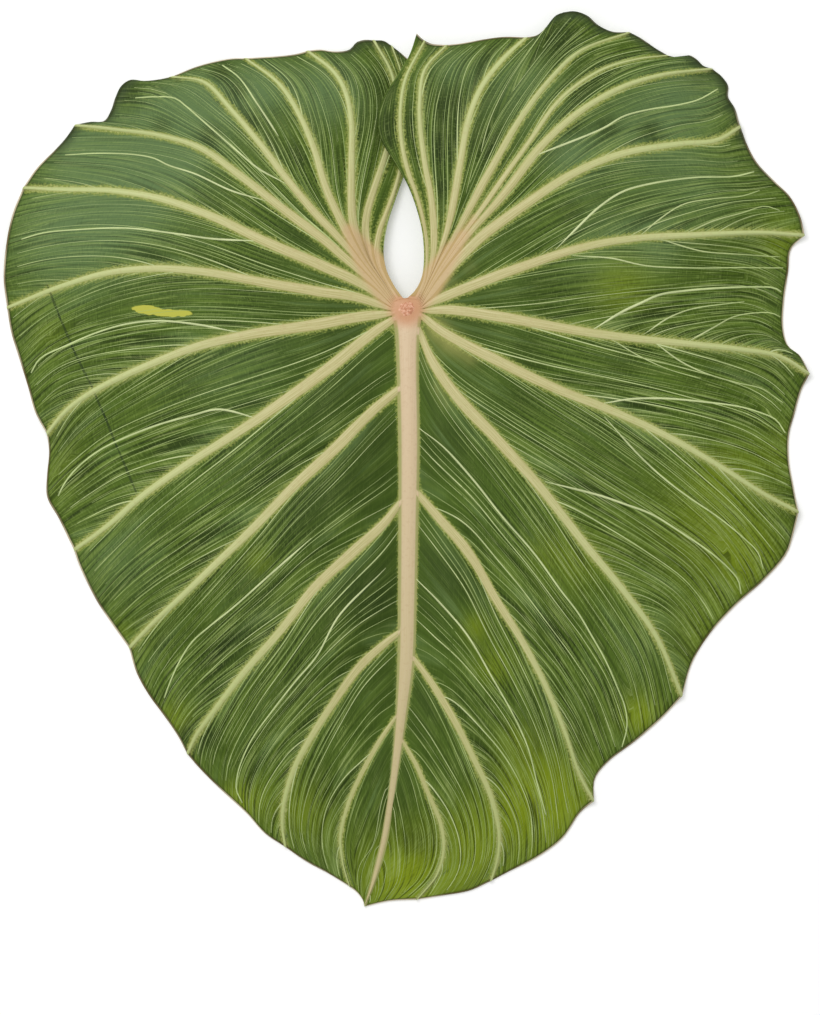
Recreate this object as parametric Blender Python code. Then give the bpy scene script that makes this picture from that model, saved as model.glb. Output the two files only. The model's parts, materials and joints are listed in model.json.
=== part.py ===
"""A picked philodendron leaf lying face up: a waved heart-shaped blade and the pale ribs that carry it.

The blade is one thin sheet with a shallow channel along every main vein. The ribs lie in those
channels and meet at the knob at the leaf's base, from which a short cut stalk points down. Both
are built over the same plan: the veins, the midrib and the margin cut it into sectors, and each
sector is filled by rows that run across it from one vein to the next.
"""

from collections import namedtuple

import bpy
import numpy as np

# Sizes in millimetres
LEAF_LENGTH = 400.0
BLADE_THICKNESS = 1.0
CHANNEL_DEPTH = 0.9
CHANNEL_SLOPE = 0.9
RIB_GAP = 0.3
RIB_EDGE = 0.6
RIB_ARCH = 1.1
QUILT = 0.07
NOTCH_HEIGHT = 13.0
MIDRIB_RISE = 14.0
TIP_HEIGHT = 2.0
SETTLE = 3.0
KNOB_HEIGHT = 1.8
KNOB_RADIUS = 6.0
KNOB_OPENING = 5.0
STALK_RADIUS = 3.6
STALK_CUT_HEIGHT = 2.0
STALK_LEAN = 2.5

# Steps of the sheet: rows from the midrib out to the margin, and steps down the midrib
ROWS = 11
AXIS_STEPS = 44

# The plan was read by eye off the reference picture, in its pixels: x to the right, y down
PICTURE_LEAF_TOP = 13.0
PICTURE_LEAF_TIP = 906.5
PICTURE_LEAF_CENTRE = 406.0
MM_PER_PIXEL = LEAF_LENGTH / (PICTURE_LEAF_TIP - PICTURE_LEAF_TOP)

MIDRIB = [(405, 299.5), (407, 309), (408, 360), (409.5, 440), (409, 520), (408, 600), (406.5, 660),
          (402, 710), (396.5, 760), (391, 800), (384, 840), (374, 880), (365, 906.5)]
LEFT_RIM = [(405, 299.5), (399, 300.3), (394.5, 303), (393, 309), (394.5, 318), (397, 332), (398.5, 360),
            (400.5, 440), (400.5, 520), (400, 600), (399, 660), (396.5, 710), (392.5, 760), (387.5, 800),
            (381.5, 840), (372, 880), (365, 906.5)]
RIGHT_RIM = [(405, 299.5), (412, 299), (418.5, 301), (421.5, 307), (420.5, 318), (419, 332), (418, 360),
             (419, 440), (417.5, 520), (416, 600), (414, 660), (407.5, 710), (400.5, 760), (394.5, 800),
             (387, 840), (376, 880), (365, 906.5)]

# One line of the plan: a vein, a free edge of the blade beside the notch, or the end of the midrib's rim.
# width is a rib's width at its root in pixels. mid and tip are heights of the sheet in millimetres,
# halfway out and at the margin. wave lifts the margin between this line and the next, crossing the
# sector in steps columns. margin is the outline from this line's end to the next one's.
Line = namedtuple("Line", "kind width mid tip wave steps route margin")

LEFT = [
    Line("edge", 0, 7, 2, 0, 1,
         [(402, 299.7), (396, 289), (387, 271), (384, 250), (388, 225), (396, 200), (408, 165),
          (416, 130), (416, 95), (408, 59)],
         [(401, 53)]),
    Line("vein", 7, 7.5, 2, 0, 1,
         [(398, 300.5), (387, 283), (378, 261), (380, 235), (387, 215), (397, 187), (405, 150),
          (407, 112), (402, 75), (392, 46)],
         [(384, 41)]),
    Line("vein", 8, 9, 2.5, 1.5, 2,
         [(396.5, 301.5), (383, 281), (372, 262), (366.5, 240), (366.5, 220), (373, 195), (384, 162),
          (393, 132), (397.5, 108), (393, 76), (374, 40.5)],
         [(365, 40), (357, 42.5), (350, 50), (335, 52), (320, 50)]),
    Line("vein", 10, 13, 4, 0, 2,
         [(395.5, 302.3), (385, 285), (368, 259), (355, 229), (352, 200), (352, 160), (352, 125),
          (346, 93), (334, 72), (308, 51)],
         [(298, 54), (285, 56)]),
    Line("vein", 10, 15, 4, 1, 3,
         [(394.5, 303.2), (381, 284), (361, 257), (341, 221), (326, 188), (315, 151), (300, 116),
          (280, 85), (246, 58.5)],
         [(232, 59), (212, 63), (195, 68)]),
    Line("vein", 10, 16, 3.5, -7.5, 6,
         [(394, 304.5), (377, 284), (348, 248), (316, 215), (288, 181), (263, 148), (233, 112),
          (205, 83), (172, 77)],
         [(160, 79.5), (145, 81), (131, 80), (122, 86), (116, 98), (112, 110), (105, 121), (91, 122)]),
    Line("vein", 12, 17, 5, -4, 3,
         [(393.5, 306), (371, 281), (334, 248), (290, 215), (245, 180), (201, 149), (160, 136),
          (118, 130), (76, 125)],
         [(66, 139), (55, 151), (38, 168)]),
    Line("vein", 12, 17, 3, 2, 3,
         [(393, 308), (370, 289), (320, 266), (270, 245), (220, 221), (165, 201), (115, 192),
          (65, 190), (24, 188)],
         [(14, 214), (8, 243), (5, 278)]),
    Line("vein", 11, 17, 4, -4, 3,
         [(393, 310.5), (360, 299), (320, 293), (265, 284), (210, 274), (160, 270), (110, 274),
          (60, 288), (8, 308)],
         [(12, 332), (20, 358), (29, 387), (36, 412)]),
    Line("vein", 13, 16, 6, -8.5, 4,
         [(393.5, 314), (360, 318), (310, 327), (255, 335), (201, 347), (150, 366), (100, 389),
          (70, 409), (48, 434)],
         [(50, 452), (48, 475), (48, 497), (60, 519), (70, 540)]),
    Line("vein", 13, 16, 5, -2, 3,
         [(394.5, 319), (372, 335), (330, 369), (285, 402), (239, 433), (190, 464), (144, 496),
          (110, 525), (75, 550)],
         [(80, 565), (97, 600), (115, 627)]),
    Line("vein", 13, 17, 4, -7, 3,
         [(399, 390), (375, 410), (335, 450), (295, 487), (255, 528), (216, 565), (180, 599),
          (155, 622), (130, 648)],
         [(137, 672), (149, 694), (165, 716), (178, 735)]),
    Line("vein", 12, 16, 3.5, -6, 3,
         [(400, 504), (384, 524), (350, 555), (315, 588), (280, 632), (244, 673), (216, 709),
          (197, 735), (188, 754)],
         [(200, 768), (222, 790), (248, 814), (265, 833)]),
    Line("vein", 10, 14, 3, -4, 3,
         [(399.5, 632), (385, 643), (360, 666), (334, 702), (312, 736), (295, 768), (285, 801),
          (283, 825), (286, 847)],
         [(306, 861), (330, 874)]),
    Line("vein", 6, 9, 2, 0, 2,
         [(396.5, 716), (382, 737), (364, 769), (350, 800), (341, 835), (343, 862), (350, 886.5)],
         [(358, 893), (363, 900)]),
    Line("rim", 0, 0, 0, 0, 0, [(387.5, 800), (381.5, 840), (372, 880), (365, 906.5)], []),
]

RIGHT = [
    Line("edge", 0, 16, 14, 0, 1,
         [(409, 299.2), (416, 292.5), (421.5, 280), (424, 265), (423, 237), (417, 211), (407, 185),
          (392, 160), (381, 141), (378.5, 122), (384, 100), (397, 79), (410, 57), (417, 36)],
         [(421, 40)]),
    Line("vein", 6, 16, 13, 0, 1,
         [(417, 300), (424, 285), (426.5, 262), (425, 237), (418, 203), (408, 172), (401.5, 140),
          (401, 110), (406, 81), (425, 43)],
         [(432, 46)]),
    Line("vein", 8, 16, 12, -2, 2,
         [(418, 300.8), (427, 283), (432, 262), (434, 240), (432, 205), (425, 165), (420.5, 130),
          (420, 105), (425, 72), (447, 47)],
         [(462, 45), (485, 40.5), (505, 38)]),
    Line("vein", 10, 16, 8, 1, 2,
         [(419.2, 301.8), (434, 270), (447, 237), (454, 200), (460, 165), (468, 122), (481, 89),
          (502, 61), (526, 38.5)],
         [(537, 36.5), (545, 30), (551, 22), (556, 17)]),
    Line("crease", 0, 16, 10, 1, 3,
         [(419.6, 302.4), (434, 271.5), (449.5, 238.5), (464, 201), (477, 165), (494, 124),
          (519, 84), (543, 49), (563, 14)],
         [(574, 13), (587, 17.5), (598, 27), (612, 33)]),
    Line("vein", 10, 16, 7, -1, 2,
         [(420, 303), (434, 273), (452, 240), (475, 199), (494, 165), (519, 122), (548, 83),
          (580, 52), (629, 33)],
         [(641, 39), (655, 48.5)]),
    Line("vein", 6, 16, 5, -1, 2,
         [(420.5, 304.5), (441, 270), (470, 228), (501, 183), (528, 145), (560, 101), (600, 72),
          (638, 60), (668, 56)],
         [(680, 58), (689, 55.5), (697, 60), (703, 66)]),
    Line("vein", 11, 17, 5, -6, 3,
         [(421, 306), (438, 276), (468, 234), (503, 196), (540, 149), (576, 116), (619, 90),
          (662, 76), (712, 69)],
         [(721, 76), (728, 86), (728, 97), (735, 109)]),
    Line("vein", 12, 17, 6, -5, 3,
         [(421.3, 307.5), (440, 281), (475, 244), (520, 210), (570, 177), (620, 156), (680, 145),
          (716, 141), (740, 127)],
         [(747, 145), (757, 163), (775, 182), (790, 197), (800, 217)]),
    Line("vein", 12, 17, 7, -10, 4,
         [(421.3, 309.3), (440, 300), (480, 284), (530, 266), (580, 250), (630, 241), (690, 237),
          (760, 234), (804, 236)],
         [(791, 249), (788, 272), (784, 300), (783, 328), (788, 346), (800, 356)]),
    Line("vein", 12, 16, 7, -10.5, 4,
         [(421.2, 311.5), (450, 311), (500, 318), (560, 329), (620, 338), (680, 344), (740, 350),
          (780, 357), (809, 374)],
         [(801, 391), (795, 412), (789, 435), (789, 462), (793, 485)]),
    Line("vein", 12, 16, 7, -9, 4,
         [(421, 315), (440, 331), (490, 358), (550, 387), (610, 411), (665, 436), (720, 467),
          (765, 495), (798, 512)],
         [(794, 530), (787, 553), (765, 579), (735, 606), (708, 636), (692, 663)]),
    Line("vein", 13, 17, 6, -8.5, 3,
         [(419.2, 332), (430, 358), (455, 395), (495, 438), (540, 488), (585, 545), (625, 593),
          (657, 638), (682, 696)],
         [(665, 715), (638, 739), (608, 762), (595, 779)]),
    Line("vein", 12, 15, 6, -8, 3,
         [(418, 494), (440, 519), (470, 554), (497, 600), (521, 638), (545, 683), (566, 733),
          (580, 774), (594, 801)],
         [(580, 813), (563, 838), (537, 857.5), (510, 871)]),
    Line("vein", 10, 13, 4, -5, 3,
         [(414, 658), (431, 681), (452, 715), (472, 754), (490, 793), (499, 830), (498, 857), (491, 881)],
         [(470, 890.5), (443, 895.5)]),
    Line("vein", 6, 8, 2, 0, 2,
         [(403, 740), (417, 765), (430, 796), (441, 823), (444, 850), (437, 875), (417, 899.6)],
         [(390, 901)]),
    Line("rim", 0, 0, 0, 0, 0, [(393.8, 800), (387.5, 840), (376, 880), (365, 906.5)], []),
]


def plan(points):
    """Points of the picture as millimetres, the leaf's tip toward -Y."""
    middle = (PICTURE_LEAF_TOP + PICTURE_LEAF_TIP) / 2
    offset = np.array(points, float) - (PICTURE_LEAF_CENTRE, middle)
    return offset * (MM_PER_PIXEL, -MM_PER_PIXEL)


class Curve:
    """A smooth route through a few points, read back by the fraction of its length."""

    def __init__(self, points, pieces=16):
        p = np.vstack([2 * points[0] - points[1], points, 2 * points[-1] - points[-2]])
        knot = np.append(0, np.cumsum(np.linalg.norm(np.diff(p, axis=0), axis=1) ** 0.5))
        found = []
        for i in range(1, len(p) - 2):
            t = np.linspace(knot[i], knot[i + 1], pieces, endpoint=False)[:, None]

            def blend(first, second, a, b):
                return ((knot[b] - t) * first + (t - knot[a]) * second) / (knot[b] - knot[a])

            a1 = blend(p[i - 1], p[i], i - 1, i)
            a2 = blend(p[i], p[i + 1], i, i + 1)
            a3 = blend(p[i + 1], p[i + 2], i + 1, i + 2)
            b1 = blend(a1, a2, i - 1, i + 1)
            b2 = blend(a2, a3, i, i + 2)
            found.append(blend(b1, b2, i, i + 1))
        self.points = np.vstack(found + [points[-1:]])
        steps = np.linalg.norm(np.diff(self.points, axis=0), axis=1)
        self.lengths = np.append(0, np.cumsum(steps))
        self.length = self.lengths[-1]

    def at(self, fraction):
        s = np.asarray(fraction) * self.length
        return np.stack([np.interp(s, self.lengths, self.points[:, k]) for k in (0, 1)], axis=-1)

    def direction(self, fraction):
        step = self.at(np.minimum(fraction + 0.01, 1)) - self.at(np.maximum(fraction - 0.01, 0))
        return step / np.linalg.norm(step, axis=-1)[..., None]

    def nearest(self, point):
        """The fraction at which the route passes closest to a point."""
        return self.lengths[np.linalg.norm(self.points - point, axis=1).argmin()] / self.length


NOTCH = plan(MIDRIB[0])
TIP = plan(MIDRIB[-1])
KNOB = plan((407, 310))


def midrib_height(y):
    """Height of the sheet beside the midrib: a low arch that comes down at the tip."""
    t = (NOTCH[1] - y) / (NOTCH[1] - TIP[1])
    return NOTCH_HEIGHT + MIDRIB_RISE * t * (1 - t) - (NOTCH_HEIGHT - TIP_HEIGHT) * t ** 3


def line_height(line, points, u):
    """Height of the sheet along a line, from the midrib through its middle height to its tip height."""
    if line.kind == "rim":
        return midrib_height(points[:, 1])
    root = midrib_height(points[0, 1])
    return root * (1 - u) * (1 - 2 * u) + 4 * line.mid * u * (1 - u) + line.tip * u * (2 * u - 1)


def side_columns(line, curve, here, there, u):
    """Shares of each row, from the line inward, at which the rib's edge and the channel's top lie."""
    zero = np.zeros_like(u)
    if line.kind != "vein":
        return [zero]
    row = there - here
    width = np.maximum(np.linalg.norm(row, axis=1), 0.01)
    along = curve.direction(u)
    sine = np.maximum(np.abs(along[:, 0] * row[:, 1] - along[:, 1] * row[:, 0]) / width, 0.5)
    slope = np.minimum(CHANNEL_SLOPE / width, 0.1)
    half = line.width * MM_PER_PIXEL / 2 * (1 - 0.68 * u ** 1.3) / sine
    edge = np.minimum(half / width, 0.3)
    return [zero, edge, edge + slope]


def sector(a, b, rim):
    """The grid between lines a and b: points, heights, and the counts of columns that the channels take."""
    first, last = (Curve(plan(line.route)) for line in (a, b))
    u_first, u_last = (np.append(0, np.linspace(CHANNEL_SLOPE / c.length, 1, ROWS)) for c in (first, last))
    if b.kind == "rim":
        u_last = np.linspace(0, 1, ROWS + 1)
    p, q = first.at(u_first), last.at(u_last)
    left = side_columns(a, first, p, q, u_first)
    right = side_columns(b, last, q, p, u_last)
    free = 1 - left[-1] - right[-1]
    inner = [left[-1] + free * k / (a.steps + 1) for k in range(1, a.steps + 1)]
    v = np.stack(left + inner + [1 - share for share in right[::-1]], axis=1)
    u = u_first[:, None] * (1 - v) + u_last[:, None] * v

    def bulge(curve, begin, end):
        """How far a curve strays from the straight line between two of its points."""
        straight = (1 - v)[..., None] * curve.at(begin) + v[..., None] * curve.at(end)
        return curve.at(begin + (end - begin) * v) - straight

    ruled = (1 - v)[..., None] * p[:, None] + v[..., None] * q[:, None]
    inside = bulge(rim, rim.nearest(p[0]), rim.nearest(q[0]))
    outside = bulge(Curve(np.vstack([p[-1:], plan(a.margin), q[-1:]])), 0.0, 1.0)
    width = np.linalg.norm(q - p, axis=1)[:, None]
    spread = u * np.minimum(1, width / width[-1])
    xy = ruled + ((1 - u) ** 3)[..., None] * inside + spread[..., None] * outside

    z = line_height(a, p, u_first)[:, None] * (1 - v) + line_height(b, q, u_last)[:, None] * v
    z += (1 - u) * (midrib_height(xy[:1, :, 1]) - z[:1])
    quilt = QUILT * width * np.minimum(1, 5 * u) * (1 - 0.6 * u)
    z += 4 * v * (1 - v) * (quilt + a.wave * u ** 3)

    channel = np.zeros_like(v)
    channel[0] = 1
    channel[:, :len(left) - 1] = 1
    channel[:, v.shape[1] - max(len(right) - 1, b.kind == "rim"):] = 1
    z -= CHANNEL_DEPTH * channel
    return xy, z, len(left), len(right)


class Sheet:
    """Points and triangles of the leaf seen from above. crest is 1 along a rib's middle, 0 at its edge."""

    def __init__(self):
        self.points = []
        self.crest = []
        self.index = {}
        self.cells = []

    def point(self, x, y, z, crest):
        key = (round(x, 3), round(y, 3), round(z, 3))
        if key not in self.index:
            self.index[key] = len(self.points)
            self.points.append((x, y, z))
            self.crest.append(crest)
        return self.index[key]

    def triangle(self, a, b, c, rib):
        if len({a, b, c}) == 3:
            (ax, ay, _), (bx, by, _), (cx, cy, _) = (self.points[k] for k in (a, b, c))
            turn = (bx - ax) * (cy - ay) - (by - ay) * (cx - ax)
            self.cells.append(((a, b, c) if turn > 0 else (a, c, b), rib))

    def quad(self, a, b, c, d, rib):
        """Two triangles, split along the shorter diagonal."""
        p = np.array([self.points[k] for k in (a, b, c, d)])
        if np.linalg.norm(p[0] - p[2]) <= np.linalg.norm(p[1] - p[3]):
            self.triangle(a, b, c, rib)
            self.triangle(a, c, d, rib)
        else:
            self.triangle(a, b, d, rib)
            self.triangle(b, c, d, rib)

    def zip(self, one, other):
        """Triangles between two rows of points that both run down the leaf from the notch."""
        i = j = 0
        while i < len(one) - 1 or j < len(other) - 1:
            ahead = j == len(other) - 1
            if not ahead and i < len(one) - 1:
                ahead = self.points[one[i + 1]][1] >= self.points[other[j + 1]][1]
            if ahead:
                self.triangle(one[i], one[i + 1], other[j], True)
                i += 1
            else:
                self.triangle(one[i], other[j + 1], other[j], True)
                j += 1


def add_side(sheet, lines, rim_route):
    """Adds one half of the leaf, and returns the points along the midrib's rim from the notch to the tip."""
    rim = Curve(plan(rim_route))
    rim_row = [sheet.point(*NOTCH, midrib_height(NOTCH[1]) - CHANNEL_DEPTH, 0)]
    for a, b in zip(lines, lines[1:]):
        xy, z, left, right = sector(a, b, rim)
        rows, columns = z.shape
        crest = np.zeros((rows, columns))
        crest[:, 0] = a.kind == "vein"
        crest[:, -1] = b.kind == "vein"
        grid = [
            [sheet.point(*xy[i, j], z[i, j], crest[i, j]) for j in range(columns)] for i in range(rows)
        ]
        for i in range(rows - 1):
            for j in range(columns - 1):
                rib = (j == 0 and left == 3) or (j == columns - 2 and right == 3)
                sheet.quad(grid[i][j], grid[i][j + 1], grid[i + 1][j + 1], grid[i + 1][j], rib)
        rim_row += grid[0][:-1]
    return rim_row + [row[-1] for row in grid]


def leaf_sheet():
    sheet = Sheet()
    left = add_side(sheet, LEFT, LEFT_RIM)
    right = add_side(sheet, RIGHT, RIGHT_RIM)
    axis = [left[0]]
    for x, y in Curve(plan(MIDRIB)).at(np.linspace(0, 1, AXIS_STEPS + 1))[1:-1]:
        axis.append(sheet.point(x, y, midrib_height(y) - CHANNEL_DEPTH, 1.6))
    axis.append(left[-1])
    sheet.zip(left, axis)
    sheet.zip(axis, right)
    return sheet


def closed_mesh(lower, upper, triangles):
    """A closed body from two faces over the same triangles, with a wall round every open edge."""
    used = sorted({k for triangle in triangles for k in triangle})
    place = {k: i for i, k in enumerate(used)}
    faces = []
    edges = set()
    for a, b, c in ([place[k] for k in triangle] for triangle in triangles):
        faces.append((a, b, c))
        faces.append((c + len(used), b + len(used), a + len(used)))
        edges |= {(a, b), (b, c), (c, a)}
    for a, b in sorted(edges):
        if (b, a) not in edges:
            faces.append((b, a, a + len(used)))
            faces.append((b, a + len(used), b + len(used)))
    return np.vstack([upper[used], lower[used]]), faces


def rod(top, bottom, radius, sides=16, rings=5):
    """The cut stalk: a round rod with flat ends, slightly waisted."""
    turn = np.linspace(0, 2 * np.pi, sides, endpoint=False)
    points = []
    for t in np.linspace(0, 1, rings):
        centre = np.array(top) * (1 - t) + np.array(bottom) * t
        r = radius * (1 - 0.12 * np.sin(np.pi * t))
        points += [(centre[0] + r * np.cos(a), centre[1] + r * np.sin(a), centre[2]) for a in turn]
    last = (rings - 1) * sides
    faces = [tuple(range(sides)), tuple(range(last + sides - 1, last - 1, -1))]
    for k in range(0, last, sides):
        for s in range(sides):
            after = (s + 1) % sides
            faces.append((k + after, k + s, k + s + sides, k + after + sides))
    return np.array(points), faces


def add_object(name, points, faces, colour, roughness):
    mesh = bpy.data.meshes.new(name)
    mesh.from_pydata((points / 1000).tolist(), [], faces)
    material = bpy.data.materials.new(name)
    material.use_nodes = True
    shader = material.node_tree.nodes["Principled BSDF"]
    shader.inputs["Base Color"].default_value = (*colour, 1)
    shader.inputs["Roughness"].default_value = roughness
    mesh.materials.append(material)
    obj = bpy.data.objects.new(name, mesh)
    bpy.context.scene.collection.objects.link(obj)
    return obj


def unite(obj, other):
    """Joins another closed body to obj, and removes it."""
    modifier = obj.modifiers.new("union", "BOOLEAN")
    modifier.operation = "UNION"
    modifier.solver = "MANIFOLD"
    modifier.object = other
    bpy.context.view_layer.update()
    joined = bpy.data.meshes.new_from_object(obj.evaluated_get(bpy.context.evaluated_depsgraph_get()))
    obj.modifiers.clear()
    obj.data = joined
    bpy.data.objects.remove(other, do_unlink=True)


for old in list(bpy.data.objects):
    bpy.data.objects.remove(old, do_unlink=True)

sheet = leaf_sheet()
points = np.array(sheet.points)
points[:, :2] -= (points[:, :2].min(axis=0) + points[:, :2].max(axis=0)) / 2
points[:, 2] -= SETTLE
knob = KNOB - (np.array(sheet.points)[0, :2] - points[0, :2])
from_knob = np.hypot(points[:, 0] - knob[0], points[:, 1] - knob[1])

# The leaf's weight brings its lowest waves down to the table, where they press flat
upper = points.copy()
upper[:, 2] = np.maximum(upper[:, 2], BLADE_THICKNESS)
lower = upper - (0, 0, BLADE_THICKNESS)

# The blade is open under the knob, where the stalk comes through
green = []
cream = []
for cell, rib in sheet.cells:
    if rib:
        cream.append(cell)
    if from_knob[list(cell)].min() > KNOB_OPENING:
        green.append(cell)

# The ribs lie in the channels, thickest along each vein's middle and over the knob
bed = upper + (0, 0, RIB_GAP)
crown = bed.copy()
crown[:, 2] += RIB_EDGE + RIB_ARCH * np.array(sheet.crest) * (1 - 0.6 * np.clip(from_knob / 200, 0, 1))
crown[:, 2] += KNOB_HEIGHT * np.exp(-((from_knob / KNOB_RADIUS) ** 2))

blade = add_object("blade", *closed_mesh(lower, upper, green), (0.08, 0.17, 0.035), 0.55)
ribs = add_object("ribs", *closed_mesh(bed, crown, cream), (0.60, 0.51, 0.25), 0.5)
stalk_top = (knob[0], knob[1], NOTCH_HEIGHT - SETTLE + 0.4)
stalk_cut = (knob[0], knob[1] - STALK_LEAN, STALK_CUT_HEIGHT)
unite(ribs, add_object("stalk", *rod(stalk_top, stalk_cut, STALK_RADIUS), (0.6, 0.45, 0.3), 0.5))
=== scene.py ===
# %% [markdown]
# # A philodendron leaf
#
# This lesson dresses a picked philodendron leaf. The real leaf is one thin green blade carried by
# pale ribs, with hundreds of fine veins running out to its waved margin. The solid model gives the
# leaf's place and main form. Here the same surface is built again in much smaller steps, so that it
# bends softly, and the fine veins are laid on it as raised lines.

# %% Open the solid model
import json
import math
from collections import namedtuple

import bpy
import numpy as np
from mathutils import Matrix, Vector
from mathutils.bvhtree import BVHTree

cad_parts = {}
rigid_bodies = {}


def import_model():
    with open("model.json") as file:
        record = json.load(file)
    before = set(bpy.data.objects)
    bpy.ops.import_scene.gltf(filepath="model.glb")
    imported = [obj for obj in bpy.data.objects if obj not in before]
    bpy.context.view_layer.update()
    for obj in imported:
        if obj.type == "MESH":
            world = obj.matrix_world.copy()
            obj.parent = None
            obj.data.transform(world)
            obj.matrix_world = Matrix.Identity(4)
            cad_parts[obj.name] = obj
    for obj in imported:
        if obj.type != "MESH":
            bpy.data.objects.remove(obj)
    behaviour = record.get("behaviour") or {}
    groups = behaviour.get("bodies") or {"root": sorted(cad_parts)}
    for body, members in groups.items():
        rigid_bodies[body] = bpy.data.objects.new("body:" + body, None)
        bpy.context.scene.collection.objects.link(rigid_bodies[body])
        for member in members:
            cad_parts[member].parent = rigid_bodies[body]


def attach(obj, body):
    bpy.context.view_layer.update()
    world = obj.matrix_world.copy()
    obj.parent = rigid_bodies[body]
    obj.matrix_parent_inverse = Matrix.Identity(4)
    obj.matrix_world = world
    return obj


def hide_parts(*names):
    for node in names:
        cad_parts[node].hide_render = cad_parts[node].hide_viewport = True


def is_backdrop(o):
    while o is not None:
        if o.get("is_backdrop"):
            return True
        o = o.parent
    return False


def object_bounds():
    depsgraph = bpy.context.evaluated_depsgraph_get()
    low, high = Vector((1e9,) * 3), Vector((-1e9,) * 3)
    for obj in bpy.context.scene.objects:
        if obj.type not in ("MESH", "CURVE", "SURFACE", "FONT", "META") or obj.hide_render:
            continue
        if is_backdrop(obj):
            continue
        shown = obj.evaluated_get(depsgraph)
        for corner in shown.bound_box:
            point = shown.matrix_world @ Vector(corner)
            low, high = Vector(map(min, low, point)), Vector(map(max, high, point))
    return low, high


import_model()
CAD_LOW, CAD_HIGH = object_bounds()
print("solid model:", [round(1000 * (h - l), 1) for l, h in zip(CAD_LOW, CAD_HIGH)], "mm")

# %% [markdown]
# ## The leaf's sizes
#
# The heights and thicknesses repeat those of the solid model, in millimetres. A real blade of this
# size is about half a millimetre thick. Here it is twice that, so that the solid model holds together.

# %% Sizes in millimetres
LEAF_LENGTH = 400.0
BLADE_THICKNESS = 1.0
CHANNEL_DEPTH = 0.9  # how far the blade dips under a rib
CHANNEL_SLOPE = 0.9  # how wide the side of that dip is
SETTLE = 3.0  # how far the leaf sinks until its lowest waves press on the table
print("a leaf", LEAF_LENGTH, "mm long, its blade", BLADE_THICKNESS, "mm thick")

# %% [markdown]
# ## The plan of the leaf
#
# Seen from above, the midrib, the side veins and the margin cut the blade into sectors. Each line
# below was read off the reference picture, in its pixels, and the leaf's length turns pixels
# into millimetres. A line also says how high the blade lies halfway out and at the margin, and how
# the margin waves before the next line.

# %% The scale of the picture
PICTURE_LEAF_TOP = 13.0
PICTURE_LEAF_TIP = 906.5
PICTURE_LEAF_CENTRE = 406.0
MM_PER_PIXEL = LEAF_LENGTH / (PICTURE_LEAF_TIP - PICTURE_LEAF_TOP)
print("one pixel of the picture is", round(MM_PER_PIXEL, 3), "mm")

# %% The midrib and its two rims
MIDRIB = [(405, 299.5), (407, 309), (408, 360), (409.5, 440), (409, 520), (408, 600), (406.5, 660),
          (402, 710), (396.5, 760), (391, 800), (384, 840), (374, 880), (365, 906.5)]
LEFT_RIM = [(405, 299.5), (399, 300.3), (394.5, 303), (393, 309), (394.5, 318), (397, 332), (398.5, 360),
            (400.5, 440), (400.5, 520), (400, 600), (399, 660), (396.5, 710), (392.5, 760), (387.5, 800),
            (381.5, 840), (372, 880), (365, 906.5)]
RIGHT_RIM = [(405, 299.5), (412, 299), (418.5, 301), (421.5, 307), (420.5, 318), (419, 332), (418, 360),
             (419, 440), (417.5, 520), (416, 600), (414, 660), (407.5, 710), (400.5, 760), (394.5, 800),
             (387, 840), (376, 880), (365, 906.5)]
print("the midrib follows", len(MIDRIB), "points")

# %% [markdown]
# A line of the plan is a vein, a fold, a free edge of the blade beside the notch, or the end of the
# midrib's rim.

# %% What a line of the plan says
# width is a rib's width at its root in pixels. mid and tip are heights of the sheet in millimetres,
# halfway out and at the margin. wave lifts the margin between this line and the next, crossing the
# sector in steps columns. margin is the outline from this line's end to the next one's.
Line = namedtuple("Line", "kind width mid tip wave steps route margin")
print("a line has", len(Line._fields), "entries:", ", ".join(Line._fields))

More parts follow.
